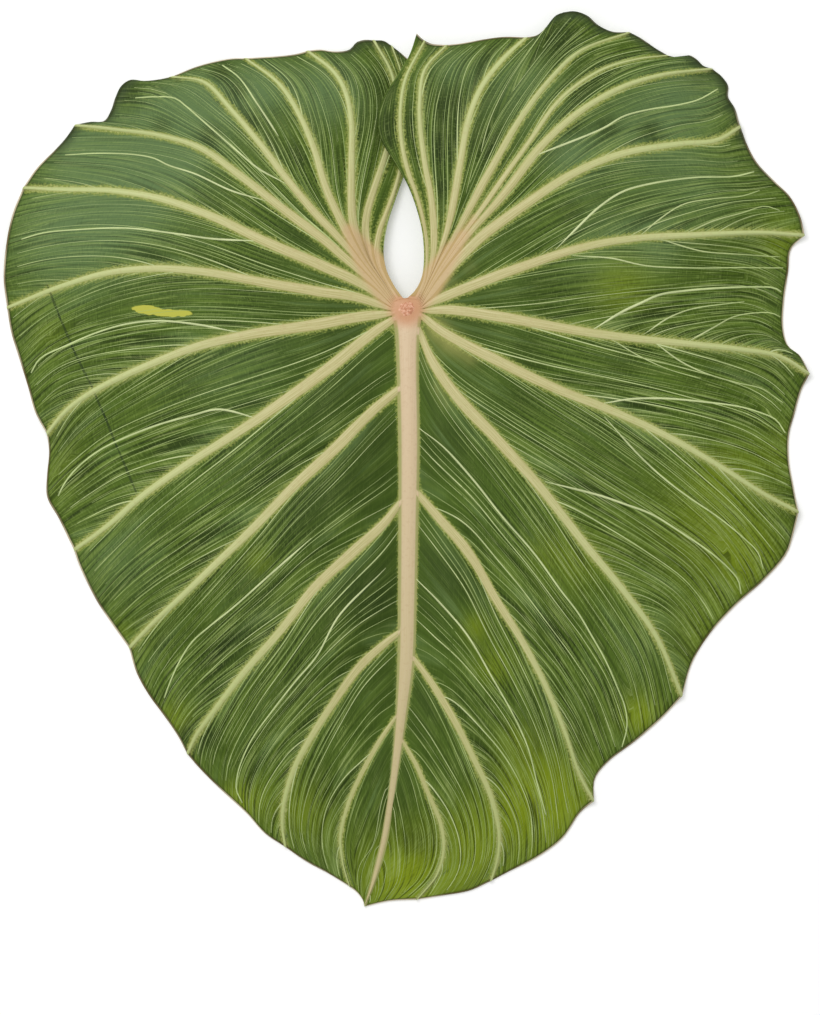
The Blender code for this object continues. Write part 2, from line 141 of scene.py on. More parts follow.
# %% The left half, from the notch down to the tip
LEFT = [
    Line("edge", 0, 7, 2, 0, 1,
         [(403.2, 299), (396, 289), (387, 271), (384, 250), (388, 225), (396, 200), (408, 165),
          (416, 130), (416, 95), (408, 59)],
         [(401, 53)]),
    Line("vein", 7, 7.5, 2, 0, 1,
         [(398, 300.5), (387, 283), (378, 261), (380, 235), (387, 215), (397, 187), (405, 150),
          (407, 112), (402, 75), (392, 46)],
         [(384, 41)]),
    Line("vein", 8, 9, 2.5, 1.5, 2,
         [(396.5, 301.5), (383, 281), (372, 262), (366.5, 240), (366.5, 220), (373, 195), (384, 162),
          (393, 132), (397.5, 108), (393, 76), (374, 40.5)],
         [(365, 40), (357, 42.5), (350, 50), (335, 52), (320, 50)]),
    Line("vein", 10, 13, 4, 0, 2,
         [(395.5, 302.3), (385, 285), (368, 259), (355, 229), (352, 200), (352, 160), (352, 125),
          (346, 93), (334, 72), (308, 51)],
         [(298, 54), (285, 56)]),
    Line("vein", 10, 15, 4, 1, 3,
         [(394.5, 303.2), (381, 284), (361, 257), (341, 221), (326, 188), (315, 151), (300, 116),
          (280, 85), (246, 58.5)],
         [(232, 59), (212, 63), (195, 68)]),
    Line("vein", 10, 16, 3.5, -7.5, 6,
         [(394, 304.5), (377, 284), (348, 248), (316, 215), (288, 181), (263, 148), (233, 112),
          (205, 83), (172, 77)],
         [(160, 79.5), (145, 81), (131, 80), (122, 86), (116, 98), (112, 110), (105, 121), (91, 122)]),
    Line("vein", 12, 17, 5, -4, 3,
         [(393.5, 306), (371, 281), (334, 248), (290, 215), (245, 180), (201, 149), (160, 136),
          (118, 130), (76, 125)],
         [(66, 139), (55, 151), (38, 168)]),
    Line("vein", 12, 17, 3, 2, 3,
         [(393, 308), (370, 289), (320, 266), (270, 245), (220, 221), (165, 201), (115, 192),
          (65, 190), (24, 188)],
         [(14, 214), (8, 243), (5, 278)]),
    Line("vein", 11, 17, 4, -4, 3,
         [(393, 310.5), (360, 299), (320, 293), (265, 284), (210, 274), (160, 270), (110, 274),
          (60, 288), (8, 308)],
         [(12, 332), (20, 358), (29, 387), (36, 412)]),
    Line("vein", 13, 16, 6, -8.5, 4,
         [(393.5, 314), (360, 318), (310, 327), (255, 335), (201, 347), (150, 366), (100, 389),
          (70, 409), (48, 434)],
         [(50, 452), (48, 475), (48, 497), (60, 519), (70, 540)]),
    Line("vein", 13, 16, 5, -2, 3,
         [(394.5, 319), (372, 335), (330, 369), (285, 402), (239, 433), (190, 464), (144, 496),
          (110, 525), (75, 550)],
         [(80, 565), (97, 600), (115, 627)]),
    Line("vein", 13, 17, 4, -7, 3,
         [(399, 390), (375, 410), (335, 450), (295, 487), (255, 528), (216, 565), (180, 599),
          (155, 622), (130, 648)],
         [(137, 672), (149, 694), (165, 716), (178, 735)]),
    Line("vein", 12, 16, 3.5, -6, 3,
         [(400, 504), (384, 524), (350, 555), (315, 588), (280, 632), (244, 673), (216, 709),
          (197, 735), (188, 754)],
         [(200, 768), (222, 790), (248, 814), (265, 833)]),
    Line("vein", 9, 14, 3, -4, 3,
         [(399.5, 632), (385, 643), (360, 666), (334, 702), (312, 736), (295, 768), (285, 801),
          (283, 825), (286, 847)],
         [(306, 861), (330, 874)]),
    Line("vein", 4.5, 9, 2, 0, 2,
         [(396.5, 716), (382, 737), (364, 769), (350, 800), (341, 835), (343, 862), (350, 886.5)],
         [(358, 893), (363, 900)]),
    Line("rim", 0, 0, 0, 0, 0, [(387.5, 800), (381.5, 840), (372, 880), (365, 906.5)], []),
]
print(len(LEFT), "lines on the left half")

# %% The right half, from the notch down to the tip
RIGHT = [
    Line("edge", 0, 16, 14, 0, 1,
         [(408.2, 298.8), (415.5, 291.5), (421.5, 280), (424, 265), (423, 237), (417, 211), (407, 185),
          (392, 160), (381, 141), (378.5, 122), (384, 100), (397, 79), (410, 57), (417, 36)],
         [(421, 40)]),
    Line("vein", 6, 16, 13, 0, 1,
         [(417, 300), (424, 285), (426.5, 262), (425, 237), (418, 203), (408, 172), (401.5, 140),
          (401, 110), (406, 81), (425, 43)],
         [(432, 46)]),
    Line("vein", 7.5, 16, 12, -2, 2,
         [(418, 300.8), (427, 283), (432, 262), (434, 240), (432, 205), (425, 165), (420.5, 130),
          (420, 105), (425, 72), (447, 47)],
         [(462, 45), (485, 40.5), (505, 38)]),
    Line("vein", 9, 16, 8, 1, 2,
         [(419.2, 301.8), (434, 270), (447, 237), (454, 200), (460, 165), (468, 122), (481, 89),
          (502, 61), (526, 38.5)],
         [(537, 36.5), (545, 30), (551, 22), (556, 17)]),
    Line("crease", 0, 16, 10, 1, 3,
         [(419.6, 302.4), (434, 271.5), (449.5, 238.5), (464, 201), (477, 165), (494, 124),
          (519, 84), (543, 49), (563, 14)],
         [(574, 13), (587, 17.5), (598, 27), (612, 33)]),
    Line("vein", 10, 16, 7, -1, 2,
         [(420, 303), (434, 273), (452, 240), (475, 199), (494, 165), (519, 122), (548, 83),
          (580, 52), (629, 33)],
         [(641, 39), (655, 48.5)]),
    Line("vein", 6, 16, 5, -1, 2,
         [(420.5, 304.5), (441, 270), (470, 228), (501, 183), (528, 145), (560, 101), (600, 72),
          (638, 60), (668, 56)],
         [(680, 58), (689, 55.5), (697, 60), (703, 66)]),
    Line("vein", 11, 17, 5, -6, 3,
         [(421, 306), (438, 276), (468, 234), (503, 196), (540, 149), (576, 116), (619, 90),
          (662, 76), (712, 69)],
         [(721, 76), (728, 86), (728, 97), (735, 109)]),
    Line("vein", 12, 17, 6, -5, 3,
         [(421.3, 307.5), (440, 281), (475, 244), (520, 210), (570, 177), (620, 156), (680, 145),
          (716, 141), (740, 127)],
         [(747, 145), (757, 163), (775, 182), (790, 197), (800, 217)]),
    Line("vein", 12, 17, 7, -10, 4,
         [(421.3, 309.3), (440, 300), (480, 284), (530, 266), (580, 250), (630, 241), (690, 237),
          (760, 234), (804, 236)],
         [(791, 249), (788, 272), (784, 300), (783, 328), (788, 346), (800, 356)]),
    Line("vein", 12, 16, 7, -10.5, 4,
         [(421.2, 311.5), (450, 311), (500, 318), (560, 329), (620, 338), (680, 344), (740, 350),
          (780, 357), (809, 374)],
         [(801, 391), (795, 412), (789, 435), (789, 462), (793, 485)]),
    Line("vein", 12, 16, 7, -9, 4,
         [(421, 315), (440, 331), (490, 358), (550, 387), (610, 411), (665, 436), (720, 467),
          (765, 495), (798, 512)],
         [(794, 530), (787, 553), (765, 579), (735, 606), (708, 636), (692, 663)]),
    Line("vein", 13, 17, 6, -8.5, 3,
         [(419.2, 332), (430, 358), (455, 395), (495, 438), (540, 488), (585, 545), (625, 593),
          (657, 638), (682, 696)],
         [(665, 715), (638, 739), (608, 762), (595, 779)]),
    Line("vein", 12, 15, 6, -8, 3,
         [(418, 494), (440, 519), (470, 554), (497, 600), (521, 638), (545, 683), (566, 733),
          (580, 774), (594, 801)],
         [(580, 813), (563, 838), (537, 857.5), (510, 871)]),
    Line("vein", 7.5, 13, 4, -5, 3,
         [(414, 658), (431, 681), (452, 715), (472, 754), (490, 793), (499, 830), (498, 857), (491, 881)],
         [(470, 890.5), (443, 895.5)]),
    Line("vein", 4, 8, 2, 0, 2,
         [(403, 740), (417, 765), (430, 796), (441, 823), (444, 850), (437, 875), (417, 899.6)],
         [(390, 901)]),
    Line("rim", 0, 0, 0, 0, 0, [(393.8, 800), (387.5, 840), (376, 880), (365, 906.5)], []),
]
print(len(RIGHT), "lines on the right half")

# %% [markdown]
# ## Smooth routes
#
# A grown vein never has a corner. A Catmull-Rom curve passes through the few points of each line and
# rounds everything between them, and it is read back by the share of its length.

# %% From picture points to smooth curves
def plan(points):
    """Points of the picture as millimetres, the leaf's tip toward -Y."""
    middle = (PICTURE_LEAF_TOP + PICTURE_LEAF_TIP) / 2
    offset = np.array(points, float) - (PICTURE_LEAF_CENTRE, middle)
    return offset * (MM_PER_PIXEL, -MM_PER_PIXEL)


class Curve:
    """A smooth route through a few points, read back by the fraction of its length."""

    def __init__(self, points, pieces=16):
        p = np.vstack([2 * points[0] - points[1], points, 2 * points[-1] - points[-2]])
        knot = np.append(0, np.cumsum(np.linalg.norm(np.diff(p, axis=0), axis=1) ** 0.5))
        found = []
        for i in range(1, len(p) - 2):
            t = np.linspace(knot[i], knot[i + 1], pieces, endpoint=False)[:, None]

            def blend(first, second, a, b):
                return ((knot[b] - t) * first + (t - knot[a]) * second) / (knot[b] - knot[a])

            a1 = blend(p[i - 1], p[i], i - 1, i)
            a2 = blend(p[i], p[i + 1], i, i + 1)
            a3 = blend(p[i + 1], p[i + 2], i + 1, i + 2)
            b1 = blend(a1, a2, i - 1, i + 1)
            b2 = blend(a2, a3, i, i + 2)
            found.append(blend(b1, b2, i, i + 1))
        self.points = np.vstack(found + [points[-1:]])
        steps = np.linalg.norm(np.diff(self.points, axis=0), axis=1)
        self.lengths = np.append(0, np.cumsum(steps))
        self.length = self.lengths[-1]

    def at(self, fraction):
        """The points at fractions of the length."""
        s = np.asarray(fraction) * self.length
        return np.stack([np.interp(s, self.lengths, self.points[:, k]) for k in (0, 1)], axis=-1)

    def direction(self, fraction):
        """Which way the route runs at fractions of its length."""
        step = self.at(np.minimum(fraction + 0.01, 1)) - self.at(np.maximum(fraction - 0.01, 0))
        return step / np.linalg.norm(step, axis=-1)[..., None]

    def nearest(self, point):
        """The fraction at which the route passes closest to a point."""
        return self.lengths[np.linalg.norm(self.points - point, axis=1).argmin()] / self.length


NOTCH = plan(MIDRIB[0])
TIP = plan(MIDRIB[-1])
KNOB = plan((407, 310))
print("midrib:", round(Curve(plan(MIDRIB)).length, 1), "mm from the notch to the tip")

# %% [markdown]
# ## The height of the blade
#
# A leaf that lies on a table arches up along its midrib and comes down at its margin, where it
# waves. Between two side veins the blade is quilted upward, because it grew faster than the veins
# that hold it. Each of these is one short formula, so that a coarse and a fine mesh lie in the same
# place.

# %% Heights along the midrib and along a line
NOTCH_HEIGHT = 13.0
MIDRIB_RISE = 14.0
TIP_HEIGHT = 2.0


def midrib_height(y):
    """Height of the sheet beside the midrib: a low arch that comes down at the tip."""
    t = (NOTCH[1] - y) / (NOTCH[1] - TIP[1])
    return NOTCH_HEIGHT + MIDRIB_RISE * t * (1 - t) - (NOTCH_HEIGHT - TIP_HEIGHT) * t ** 3


def line_height(line, points, u):
    """Height along a line, from the midrib through its middle height to its tip height."""
    if line.kind == "rim":
        return midrib_height(points[:, 1])
    root = midrib_height(points[0, 1])
    return root * (1 - u) * (1 - 2 * u) + 4 * line.mid * u * (1 - u) + line.tip * u * (2 * u - 1)


top = midrib_height(np.linspace(NOTCH[1], TIP[1], 100)).max()
print("beside the midrib the blade rises to", round(float(top), 1), "mm, and settles by", SETTLE, "mm")

# %% [markdown]
# ## One sector of the blade
#
# A sector is filled by rows that cross it from one vein to the next. Each row first has a few close
# columns over the vein and down the sides of its channel, then evenly spaced ones over the blade.
# The rim of the midrib bends the inner rows and the margin bends the outer ones. Rows a few
# millimetres apart are the coarsest that still look smooth from the side.

# %% Columns beside a line
ROWS = 48
BAND_COLUMNS = 3
SLOPE_COLUMNS = 2
COLUMNS_A_STEP = 6
RIM_CREST = 0.3


def side_columns(line, curve, here, there, u):
    """Shares of each row at which the columns over a line's channel lie, and how deep each one is."""
    zero = np.zeros_like(u)
    row = there - here
    width = np.maximum(np.linalg.norm(row, axis=1), 0.01)
    if line.kind == "rim":
        return [zero, np.minimum(CHANNEL_SLOPE / width, 0.3)], [1.0, 0.0], zero
    if line.kind != "vein":
        return [zero], [0.0], zero
    along = curve.direction(u)
    sine = np.maximum(np.abs(along[:, 0] * row[:, 1] - along[:, 1] * row[:, 0]) / width, 0.5)
    # A side vein is drawn in at its root, fullest a fifth of the way out, and thin at the margin.
    swell = 0.42 + 0.43 * np.minimum(1, 5 * u) ** 0.8
    half = line.width * MM_PER_PIXEL / 2 * (1 - 0.76 * u ** 1.1) * swell / sine
    edge = np.minimum(half / width, 0.3)
    slope = np.minimum(CHANNEL_SLOPE * (0.7 - 0.4 * u) / width, 0.1)
    columns = [edge * k / BAND_COLUMNS for k in range(BAND_COLUMNS + 1)]
    columns += [edge + slope * k / SLOPE_COLUMNS for k in range(1, SLOPE_COLUMNS + 1)]
    depth = [1.0] * (BAND_COLUMNS + 1)
    depth += [0.5 + 0.5 * math.cos(math.pi * k / SLOPE_COLUMNS) for k in range(1, SLOPE_COLUMNS + 1)]
    return columns, depth, edge


print(ROWS, "rows a sector, and", COLUMNS_A_STEP, "columns for each step of its margin")

# %% Rows of points across a sector
QUILT = 0.07  # how high the blade bulges between two veins, as a share of the distance between them


def sector(a, b, rim):
    """The grid between lines a and b, with what the finish needs to know about each point."""
    first, last = (Curve(plan(line.route)) for line in (a, b))
    even = np.linspace(0, 1, ROWS + 1)
    u_first = np.append(0, np.linspace(CHANNEL_SLOPE / first.length, 1, ROWS))
    u_last = even if b.kind == "rim" else np.append(0, np.linspace(CHANNEL_SLOPE / last.length, 1, ROWS))
    p, q = first.at(u_first), last.at(u_last)
    left, left_depth, left_edge = side_columns(a, first, p, q, u_first)
    right, right_depth, right_edge = side_columns(b, last, q, p, u_last)
    free = 1 - left[-1] - right[-1]
    inner = COLUMNS_A_STEP * (a.steps + 1)
    middle = [left[-1] + free * k / inner for k in range(1, inner)]
    v = np.stack(left + middle + [1 - share for share in right[::-1]], axis=1)
    u = u_first[:, None] * (1 - v) + u_last[:, None] * v

    def bulge(curve, begin, end):
        """How far a curve strays from the straight line between two of its points."""
        straight = (1 - v)[..., None] * curve.at(begin) + v[..., None] * curve.at(end)
        return curve.at(begin + (end - begin) * v) - straight

    ruled = (1 - v)[..., None] * p[:, None] + v[..., None] * q[:, None]
    margin = Curve(np.vstack([p[-1:], plan(a.margin), q[-1:]]))
    width = np.linalg.norm(q - p, axis=1)[:, None]
    spread = u * np.minimum(1, width / width[-1])
    xy = ruled + ((1 - u) ** 3)[..., None] * bulge(rim, rim.nearest(p[0]), rim.nearest(q[0]))
    xy += spread[..., None] * bulge(margin, 0.0, 1.0)

    z = line_height(a, p, u_first)[:, None] * (1 - v) + line_height(b, q, u_last)[:, None] * v
    z += (1 - u) * (midrib_height(xy[:1, :, 1]) - z[:1])
    quilt = QUILT * width * np.minimum(1, 5 * u) * (1 - 0.6 * u)
    z += 4 * v * (1 - v) * (quilt + a.wave * u ** 3)
    depth = np.tile(left_depth + [0.0] * len(middle) + right_depth[::-1], (ROWS + 1, 1))
    depth[0] = 1
    z = np.maximum(z, SETTLE + BLADE_THICKNESS + CHANNEL_DEPTH * depth)

    # How far each point lies from the line on either side, as a share of that line's rib.
    far = np.full_like(v, 9.0)
    from_a = v / np.maximum(left[-1], 1e-6)[:, None] if a.kind == "vein" else far
    from_b = (1 - v) / np.maximum(right[-1], 1e-6)[:, None] if b.kind == "vein" else far
    crest = 1 - np.minimum(1, np.minimum(from_a, from_b)) ** 2
    crest[0] = np.maximum(crest[0], RIM_CREST)
    if b.kind == "rim":
        crest[:, -1] = RIM_CREST
    from_rib = np.minimum(v - left_edge[:, None] if a.kind == "vein" else far,
                          1 - v - right_edge[:, None] if b.kind == "vein" else far) * width
    return {
        "xy": xy, "z": z, "depth": depth, "u": u, "v": v, "width": width, "crest": crest,
        "from_rib": np.minimum(from_rib, u * first.length), "lane": np.where(v < 0.5, v, v - 1) * width,
        "along": u * (first.length * (1 - v) + last.length * v),
        "inner": np.linalg.norm(q[0] - p[0]), "outer": margin.length,
        "bands": (len(left) - 1, len(right) - 1),
    }


trial = sector(LEFT[5], LEFT[6], Curve(plan(LEFT_RIM)))
print("the sector at the shoulder is", round(trial["outer"]), "mm wide and has", trial["z"].size, "points")

# %% [markdown]
# ## How the fine veins run
#
# Fine veins leave a side vein at 30 to 45 degrees, soon bend to run side by side along the sector,
# and near the margin turn toward the leaf's tip. In each half of a sector they are one family of
# lines, so that none crosses another: each is known by the place where it leaves the side vein.

# %% The family of fine veins in a sector
MIDDLE = 0.36  # where the two families of a sector meet, as a share of its width
TURN_TO_TIP = 0.3  # how far the lines turn toward the tip at the margin
FIRST_ANGLE = 0.03  # keeps the very first step of a line at less than a right angle


def root_share(grid):
    """How much of the family begins on the midrib, as a share of the sector's length."""
    return max(0.03, 0.6 * grid["inner"] / grid["outer"])


def leaving(v):
    """How fast a line draws away from the side vein: faster on the side nearer the leaf's base."""
    return np.where(v < MIDDLE, 0.6, 0.48)


def drawn_away(along, power):
    """How far a line has drawn away from its side vein, from its share of the way along."""
    low = FIRST_ANGLE ** power
    return ((along + FIRST_ANGLE) ** power - low) / ((1 + FIRST_ANGLE) ** power - low)


def way_along(away, power):
    """The other way round: the share of the way along, from how far a line has drawn away."""
    low = FIRST_ANGLE ** power
    return (away * ((1 + FIRST_ANGLE) ** power - low) + low) ** (1 / power) - FIRST_ANGLE


def full_way(grid, u):
    """How long a line takes to reach the middle: less near the midrib, more where the sector is wide."""
    root = root_share(grid)
    width = np.interp(u, grid["u"][:, 0], grid["width"][:, 0]) / grid["width"][-1, 0]
    return (0.55 * (u + root) + 0.45 * (1 + root)) * np.maximum(1, width)


def turned(u, v):
    """Moves lines near the margin toward the leaf's tip."""
    return v + TURN_TO_TIP * v * (1 - v) * np.clip((u - 0.82) / 0.18, 0, 1) ** 2


def family_number(grid):
    """Each point's place among the lines: where its line would reach the margin, in mm from the middle."""
    u = grid["u"]
    v = 2 * grid["v"] - turned(u, grid["v"])
    away = np.clip(np.minimum(v / MIDDLE, (1 - v) / (1 - MIDDLE)), 0, 1)
    start = u - full_way(grid, u) * way_along(away, leaving(v))
    at_margin = drawn_away((1 - start) / (1 + root_share(grid)), leaving(v))
    return np.where(v < MIDDLE, MIDDLE * (at_margin - 1), (1 - MIDDLE) * (1 - at_margin)) * grid["outer"]


def along_family(grid, base_side, start, u, wander):
    """Shares u and v along the line of the family that leaves a side vein at a share of its length."""
    power = leaving(0.0 if base_side else 1.0)
    away = drawn_away(np.maximum(u - start, 0) / full_way(grid, u), power)
    away = away + wander * np.sin(9 * u + 40 * wander) / grid["outer"] * np.clip((u - u[0]) * 8, 0, 1)
    away = np.minimum(away, 1)
    return u, turned(u, np.clip(away * MIDDLE if base_side else 1 - away * (1 - MIDDLE), 0, 1))


def fine_vein(grid, place, end, wander):
    """Shares u and v along the fine vein that reaches the margin at a place in mm from the middle."""
    base_side = place < 0
    share = MIDDLE if base_side else 1 - MIDDLE
    spread = way_along(1 - abs(place) / grid["outer"] / share, leaving(0.0 if base_side else 1.0))
    start = 1 - (1 + root_share(grid)) * spread
    begin = max(0.0, start)
    steps = begin + (end - begin) * np.linspace(0, 1, 36) ** 1.5
    return *along_family(grid, base_side, start, steps, wander), begin


print("a line of the family is halfway to the middle after", round(way_along(0.5, 0.48), 2), "of its way")

# %% [markdown]
# ## Putting the sectors together
#
# Neighbouring sectors share the points of the vein between them, so that the light runs on over the
# vein without a seam. The midrib's own strip is filled by long rows, from one rim to the other.
# Each point also carries a few numbers that the finish reads later: how far it is from a rib and
# from the margin, and where it lies among the fine veins.

# %% A sheet of points and faces
FACTS = ("rib_mm", "family_mm", "along_mm", "margin_mm", "out", "lane_mm", "midrib")


class Sheet:
    """The leaf seen from above. crest is 1 on a rib's middle and 0 beside it, and depth is its channel's."""

    def __init__(self):
        self.points = []
        self.crest = []
        self.depth = []
        self.facts = []
        self.index = {}
        self.cells = []
        self.ribs = []

    def point(self, x, y, z, crest, depth, facts):
        """The number of a point, which is added unless another sector already has it."""
        key = (round(x, 3), round(y, 3), round(z, 3))
        if key not in self.index:
            self.index[key] = len(self.points)
            self.points.append((x, y, z))
            self.crest.append(crest)
            self.depth.append(depth)
            self.facts.append(facts)
        return self.index[key]

    def face(self, corners, rib):
        """Adds a face that looks up, unless its corners run together."""
        corners = list(dict.fromkeys(corners))
        if len(corners) < 3:
            return
        turn = 0
        for k, a in enumerate(corners):
            (ax, ay, _), (bx, by, _) = self.points[a], self.points[corners[(k + 1) % len(corners)]]
            turn += ax * by - bx * ay
        self.cells.append(corners if turn > 0 else corners[::-1])
        self.ribs.append(rib)

    def zip(self, one, other):
        """Triangles between two rows of points that both run down the leaf from the notch."""
        i = j = 0
        while i < len(one) - 1 or j < len(other) - 1:
            ahead = j == len(other) - 1
            if not ahead and i < len(one) - 1:
                ahead = self.points[one[i + 1]][1] >= self.points[other[j + 1]][1]
            if ahead:
                self.face((one[i], one[i + 1], other[j]), True)
                i += 1
            else:
                self.face((one[i], other[j + 1], other[j]), True)
                j += 1


print("each point carries", len(FACTS), "facts:", ", ".join(FACTS))

# %% Facts and heights along the midrib
MIDRIB_CREST = 1.6  # the midrib arches more than the side veins, whose crest is 1


def route_x(route, y):
    """Where a route that runs down the leaf crosses a height of the plan."""
    points = Curve(plan(route)).points
    return np.interp(-y, -points[:, 1], points[:, 0])


def midrib_facts(x, y):
    """A midrib point's facts. It is inside the rib, and far from the margin."""
    return (-1, 0, NOTCH[1] - y, 60, 0, x - route_x(MIDRIB, y), 1)


def midrib_point(sheet, x, y, crest):
    """The number of a point on the midrib's strip."""
    z = max(midrib_height(y), SETTLE + BLADE_THICKNESS + CHANNEL_DEPTH)
    return sheet.point(x, y, z, crest, 1.0, midrib_facts(x, y))


wide = float(route_x(RIGHT_RIM, 0) - route_x(LEFT_RIM, 0))
print("halfway down the leaf its midrib is", round(wide, 1), "mm wide")

# %% One half of the leaf
GRIDS = []


def add_half(sheet, lines, rim_route):
    """Adds one half of the leaf, and returns the points along the midrib's rim."""
    rim = Curve(plan(rim_route))
    rim_row = [midrib_point(sheet, *NOTCH, RIM_CREST)]
    for a, b in zip(lines, lines[1:]):
        grid = sector(a, b, rim)
        GRIDS.append(grid)
        rows, columns = grid["z"].shape
        margin = (1 - grid["u"]) * (grid["along"] / np.maximum(grid["u"], 1e-3)).max()
        grid["facts"] = np.stack(
            [grid["from_rib"], family_number(grid), grid["along"], margin, grid["u"], grid["lane"],
             np.zeros_like(margin)],
            axis=-1,
        )
        grid["facts"][0] = [midrib_facts(x, y) for x, y in grid["xy"][0]]
        if b.kind == "rim":
            grid["facts"][:, -1] = [midrib_facts(x, y) for x, y in grid["xy"][:, -1]]
        index = [
            [sheet.point(*grid["xy"][i, j], grid["z"][i, j], grid["crest"][i, j], grid["depth"][i, j],
                         tuple(grid["facts"][i, j]))
             for j in range(columns)]
            for i in range(rows)
        ]
        first, last = grid["bands"]
        for i in range(rows - 1):
            for j in range(columns - 1):
                rib = i == 0 or j < first or j >= columns - 1 - last
                sheet.face((index[i][j], index[i][j + 1], index[i + 1][j + 1], index[i + 1][j]), rib)
        rim_row += index[0][:-1]
    return rim_row + [row[-1] for row in index]


print("the rows of a half end on a midrib's rim that arches", RIM_CREST, "as much as a vein")

# %% Both halves and the midrib's strip
MIDRIB_ROWS = 130


def leaf_sheet():
    """The whole sheet: both halves, and the strip of the midrib between their rims."""
    sheet = Sheet()
    left = add_half(sheet, LEFT, LEFT_RIM)
    right = add_half(sheet, RIGHT, RIGHT_RIM)
    y = NOTCH[1] + (TIP[1] - NOTCH[1]) * np.linspace(0, 1, MIDRIB_ROWS) ** 1.15
    middle = route_x(MIDRIB, y)
    rows = [left]
    for share in (-0.8, -0.6, -0.4, -0.2, 0, 0.2, 0.4, 0.6, 0.8):
        rim = route_x(LEFT_RIM if share < 0 else RIGHT_RIM, y)
        x = middle + abs(share) * (rim - middle)
        crest = RIM_CREST + (MIDRIB_CREST - RIM_CREST) * (1 - share ** 2)
        inside = [midrib_point(sheet, x[k], y[k], crest) for k in range(1, MIDRIB_ROWS - 1)]
        rows.append([left[0]] + inside + [left[-1]])
    rows.append(right)
    for one, other in zip(rows, rows[1:]):
        sheet.zip(one, other)
    return sheet


sheet = leaf_sheet()
level = np.array(sheet.points)
shift = (level[:, :2].min(axis=0) + level[:, :2].max(axis=0)) / 2
half_size = (level[:, :2].max(axis=0) - level[:, :2].min(axis=0)) / 2
fitted = 1000 * (np.array(CAD_HIGH) - np.array(CAD_LOW))[:2] / 2 / half_size
print("squeezed to the solid's width and length by", fitted.round(5))

# %% The sheet on the table
def placed(points):
    """Points of the plan as they lie on the table, inside the solid model's box."""
    moved = np.array(points, float)
    moved[..., :2] = (moved[..., :2] - shift) * np.minimum(fitted, 1)
    if moved.shape[-1] == 3:
        moved[..., 2] -= SETTLE
    return moved


level = placed(level)
knob = placed(KNOB)
from_knob = np.hypot(level[:, 0] - knob[0], level[:, 1] - knob[1])
crest = np.array(sheet.crest)
depth = np.array(sheet.depth)
facts = np.array(sheet.facts)
print("sheet:", len(level), "points,", len(sheet.cells), "faces")

# %% [markdown]
# ## Where the leaf changes
#
# No leaf is one green. This one is darkest where the side veins leave the midrib, partly in its own
# tone and partly as painted shade, and painted shade also darkens the sides of its folds and the
# rolled tops of its lobes. It turns yellow-green toward the tip and in parts of the margin, and a
# painted grey-green sheen lies on its lobes where they tilt toward the light, and there the fine
# veins show less. Beside the notch the ribs run together into two broad trunks. Each place is a soft
# round spot read off the picture: its centre and radius in picture pixels, and how strong it is.

# %% Soft round places, from the trunks to the yellow fields
TRUNKS = [
    (397, 300, 14, 1.3), (387, 287, 14, 1.3), (376, 272, 15, 1.2), (366, 258, 13, 1.1), (357, 244, 11, 0.9),
    (349, 231, 9, 0.7), (419, 299, 13, 1.3), (430, 285, 13, 1.3), (441, 269, 12, 1.2), (452, 253, 11, 1.1),
    (463, 237, 9, 0.9), (473, 222, 7, 0.7),
]
YELLOWER = [
    (785, 450, 40, 0.35), (750, 560, 45, 0.4), (700, 640, 45, 0.35), (545, 800, 55, 0.9),
    (495, 665, 26, 0.5), (475, 625, 16, 0.5),
    (620, 285, 40, 0.5), (50, 330, 30, 0.3), (60, 470, 40, 0.3), (400, 880, 50, 0.8), (470, 850, 50, 0.6),
    (300, 810, 40, 0.5), (780, 240, 25, 0.5), (700, 520, 70, 0.4), (260, 560, 20, 0.4), (515, 735, 20, 0.3),
    (120, 640, 22, 0.4), (640, 715, 24, 0.7), (725, 470, 30, 0.3), (175, 720, 24, 0.5),
    (575, 560, 40, 0.4), (240, 800, 24, 0.6), (540, 550, 20, 0.2),
]
print(len(TRUNKS), "places make the two trunks, and", len(YELLOWER), "are yellower")

# %% Darker green fields and painted shade on the sides of folds
DARK_GREEN_AND_SHADE = [
    (560, 40, 30, 0.9), (470, 120, 60, 0.5), (355, 380, 45, 0.4), (465, 400, 45, 0.2), (380, 440, 30, 0.2),
    (370, 500, 45, 0.35), (455, 570, 40, 0.5), (375, 600, 40, 0.7), (340, 310, 40, 0.4), (300, 240, 40, 0.5),
    (480, 320, 45, 0.3), (500, 230, 50, 0.3), (380, 80, 22, 0.6), (130, 92, 20, 0.6), (700, 72, 25, 0.6),
    (575, 95, 14, 0.8), (590, 82, 14, 0.8), (606, 70, 12, 0.8), (622, 62, 9, 0.6), (650, 134, 15, 0.8),
    (395, 130, 22, 0.9), (300, 420, 60, 0.15), (300, 520, 50, 0.3), (520, 520, 50, 0.1), (735, 130, 18, 0.5),
    (222, 72, 14, 0.8), (240, 92, 12, 0.7), (253, 124, 14, 0.8), (270, 150, 14, 0.7), (212, 138, 16, 0.8),
    (163, 127, 14, 0.6), (298, 158, 16, 0.7), (606, 129, 14, 0.7), (572, 215, 18, 0.6), (541, 150, 16, 0.6),
    (775, 352, 16, 0.7), (300, 700, 30, 0.6), (215, 655, 30, 0.5), (330, 790, 30, 0.4), (250, 640, 30, 0.4),
    (160, 640, 18, 0.5), (190, 740, 12, 0.9), (430, 700, 30, 0.4), (410, 840, 22, 0.5), (60, 425, 26, 0.7),
    (447, 150, 16, 0.8), (452, 110, 16, 0.8), (440, 190, 10, 0.7), (490, 150, 14, 0.7), (570, 125, 16, 0.8),
    (205, 735, 18, 1.0), (455, 770, 26, 0.3), (88, 480, 22, 0.6), (22, 330, 16, 0.6), (275, 600, 30, 0.5),
    (270, 480, 26, 0.5), (445, 845, 24, 0.4), (560, 640, 30, 0.3), (210, 690, 24, 0.4),
]
print(len(DARK_GREEN_AND_SHADE), "places are darker")
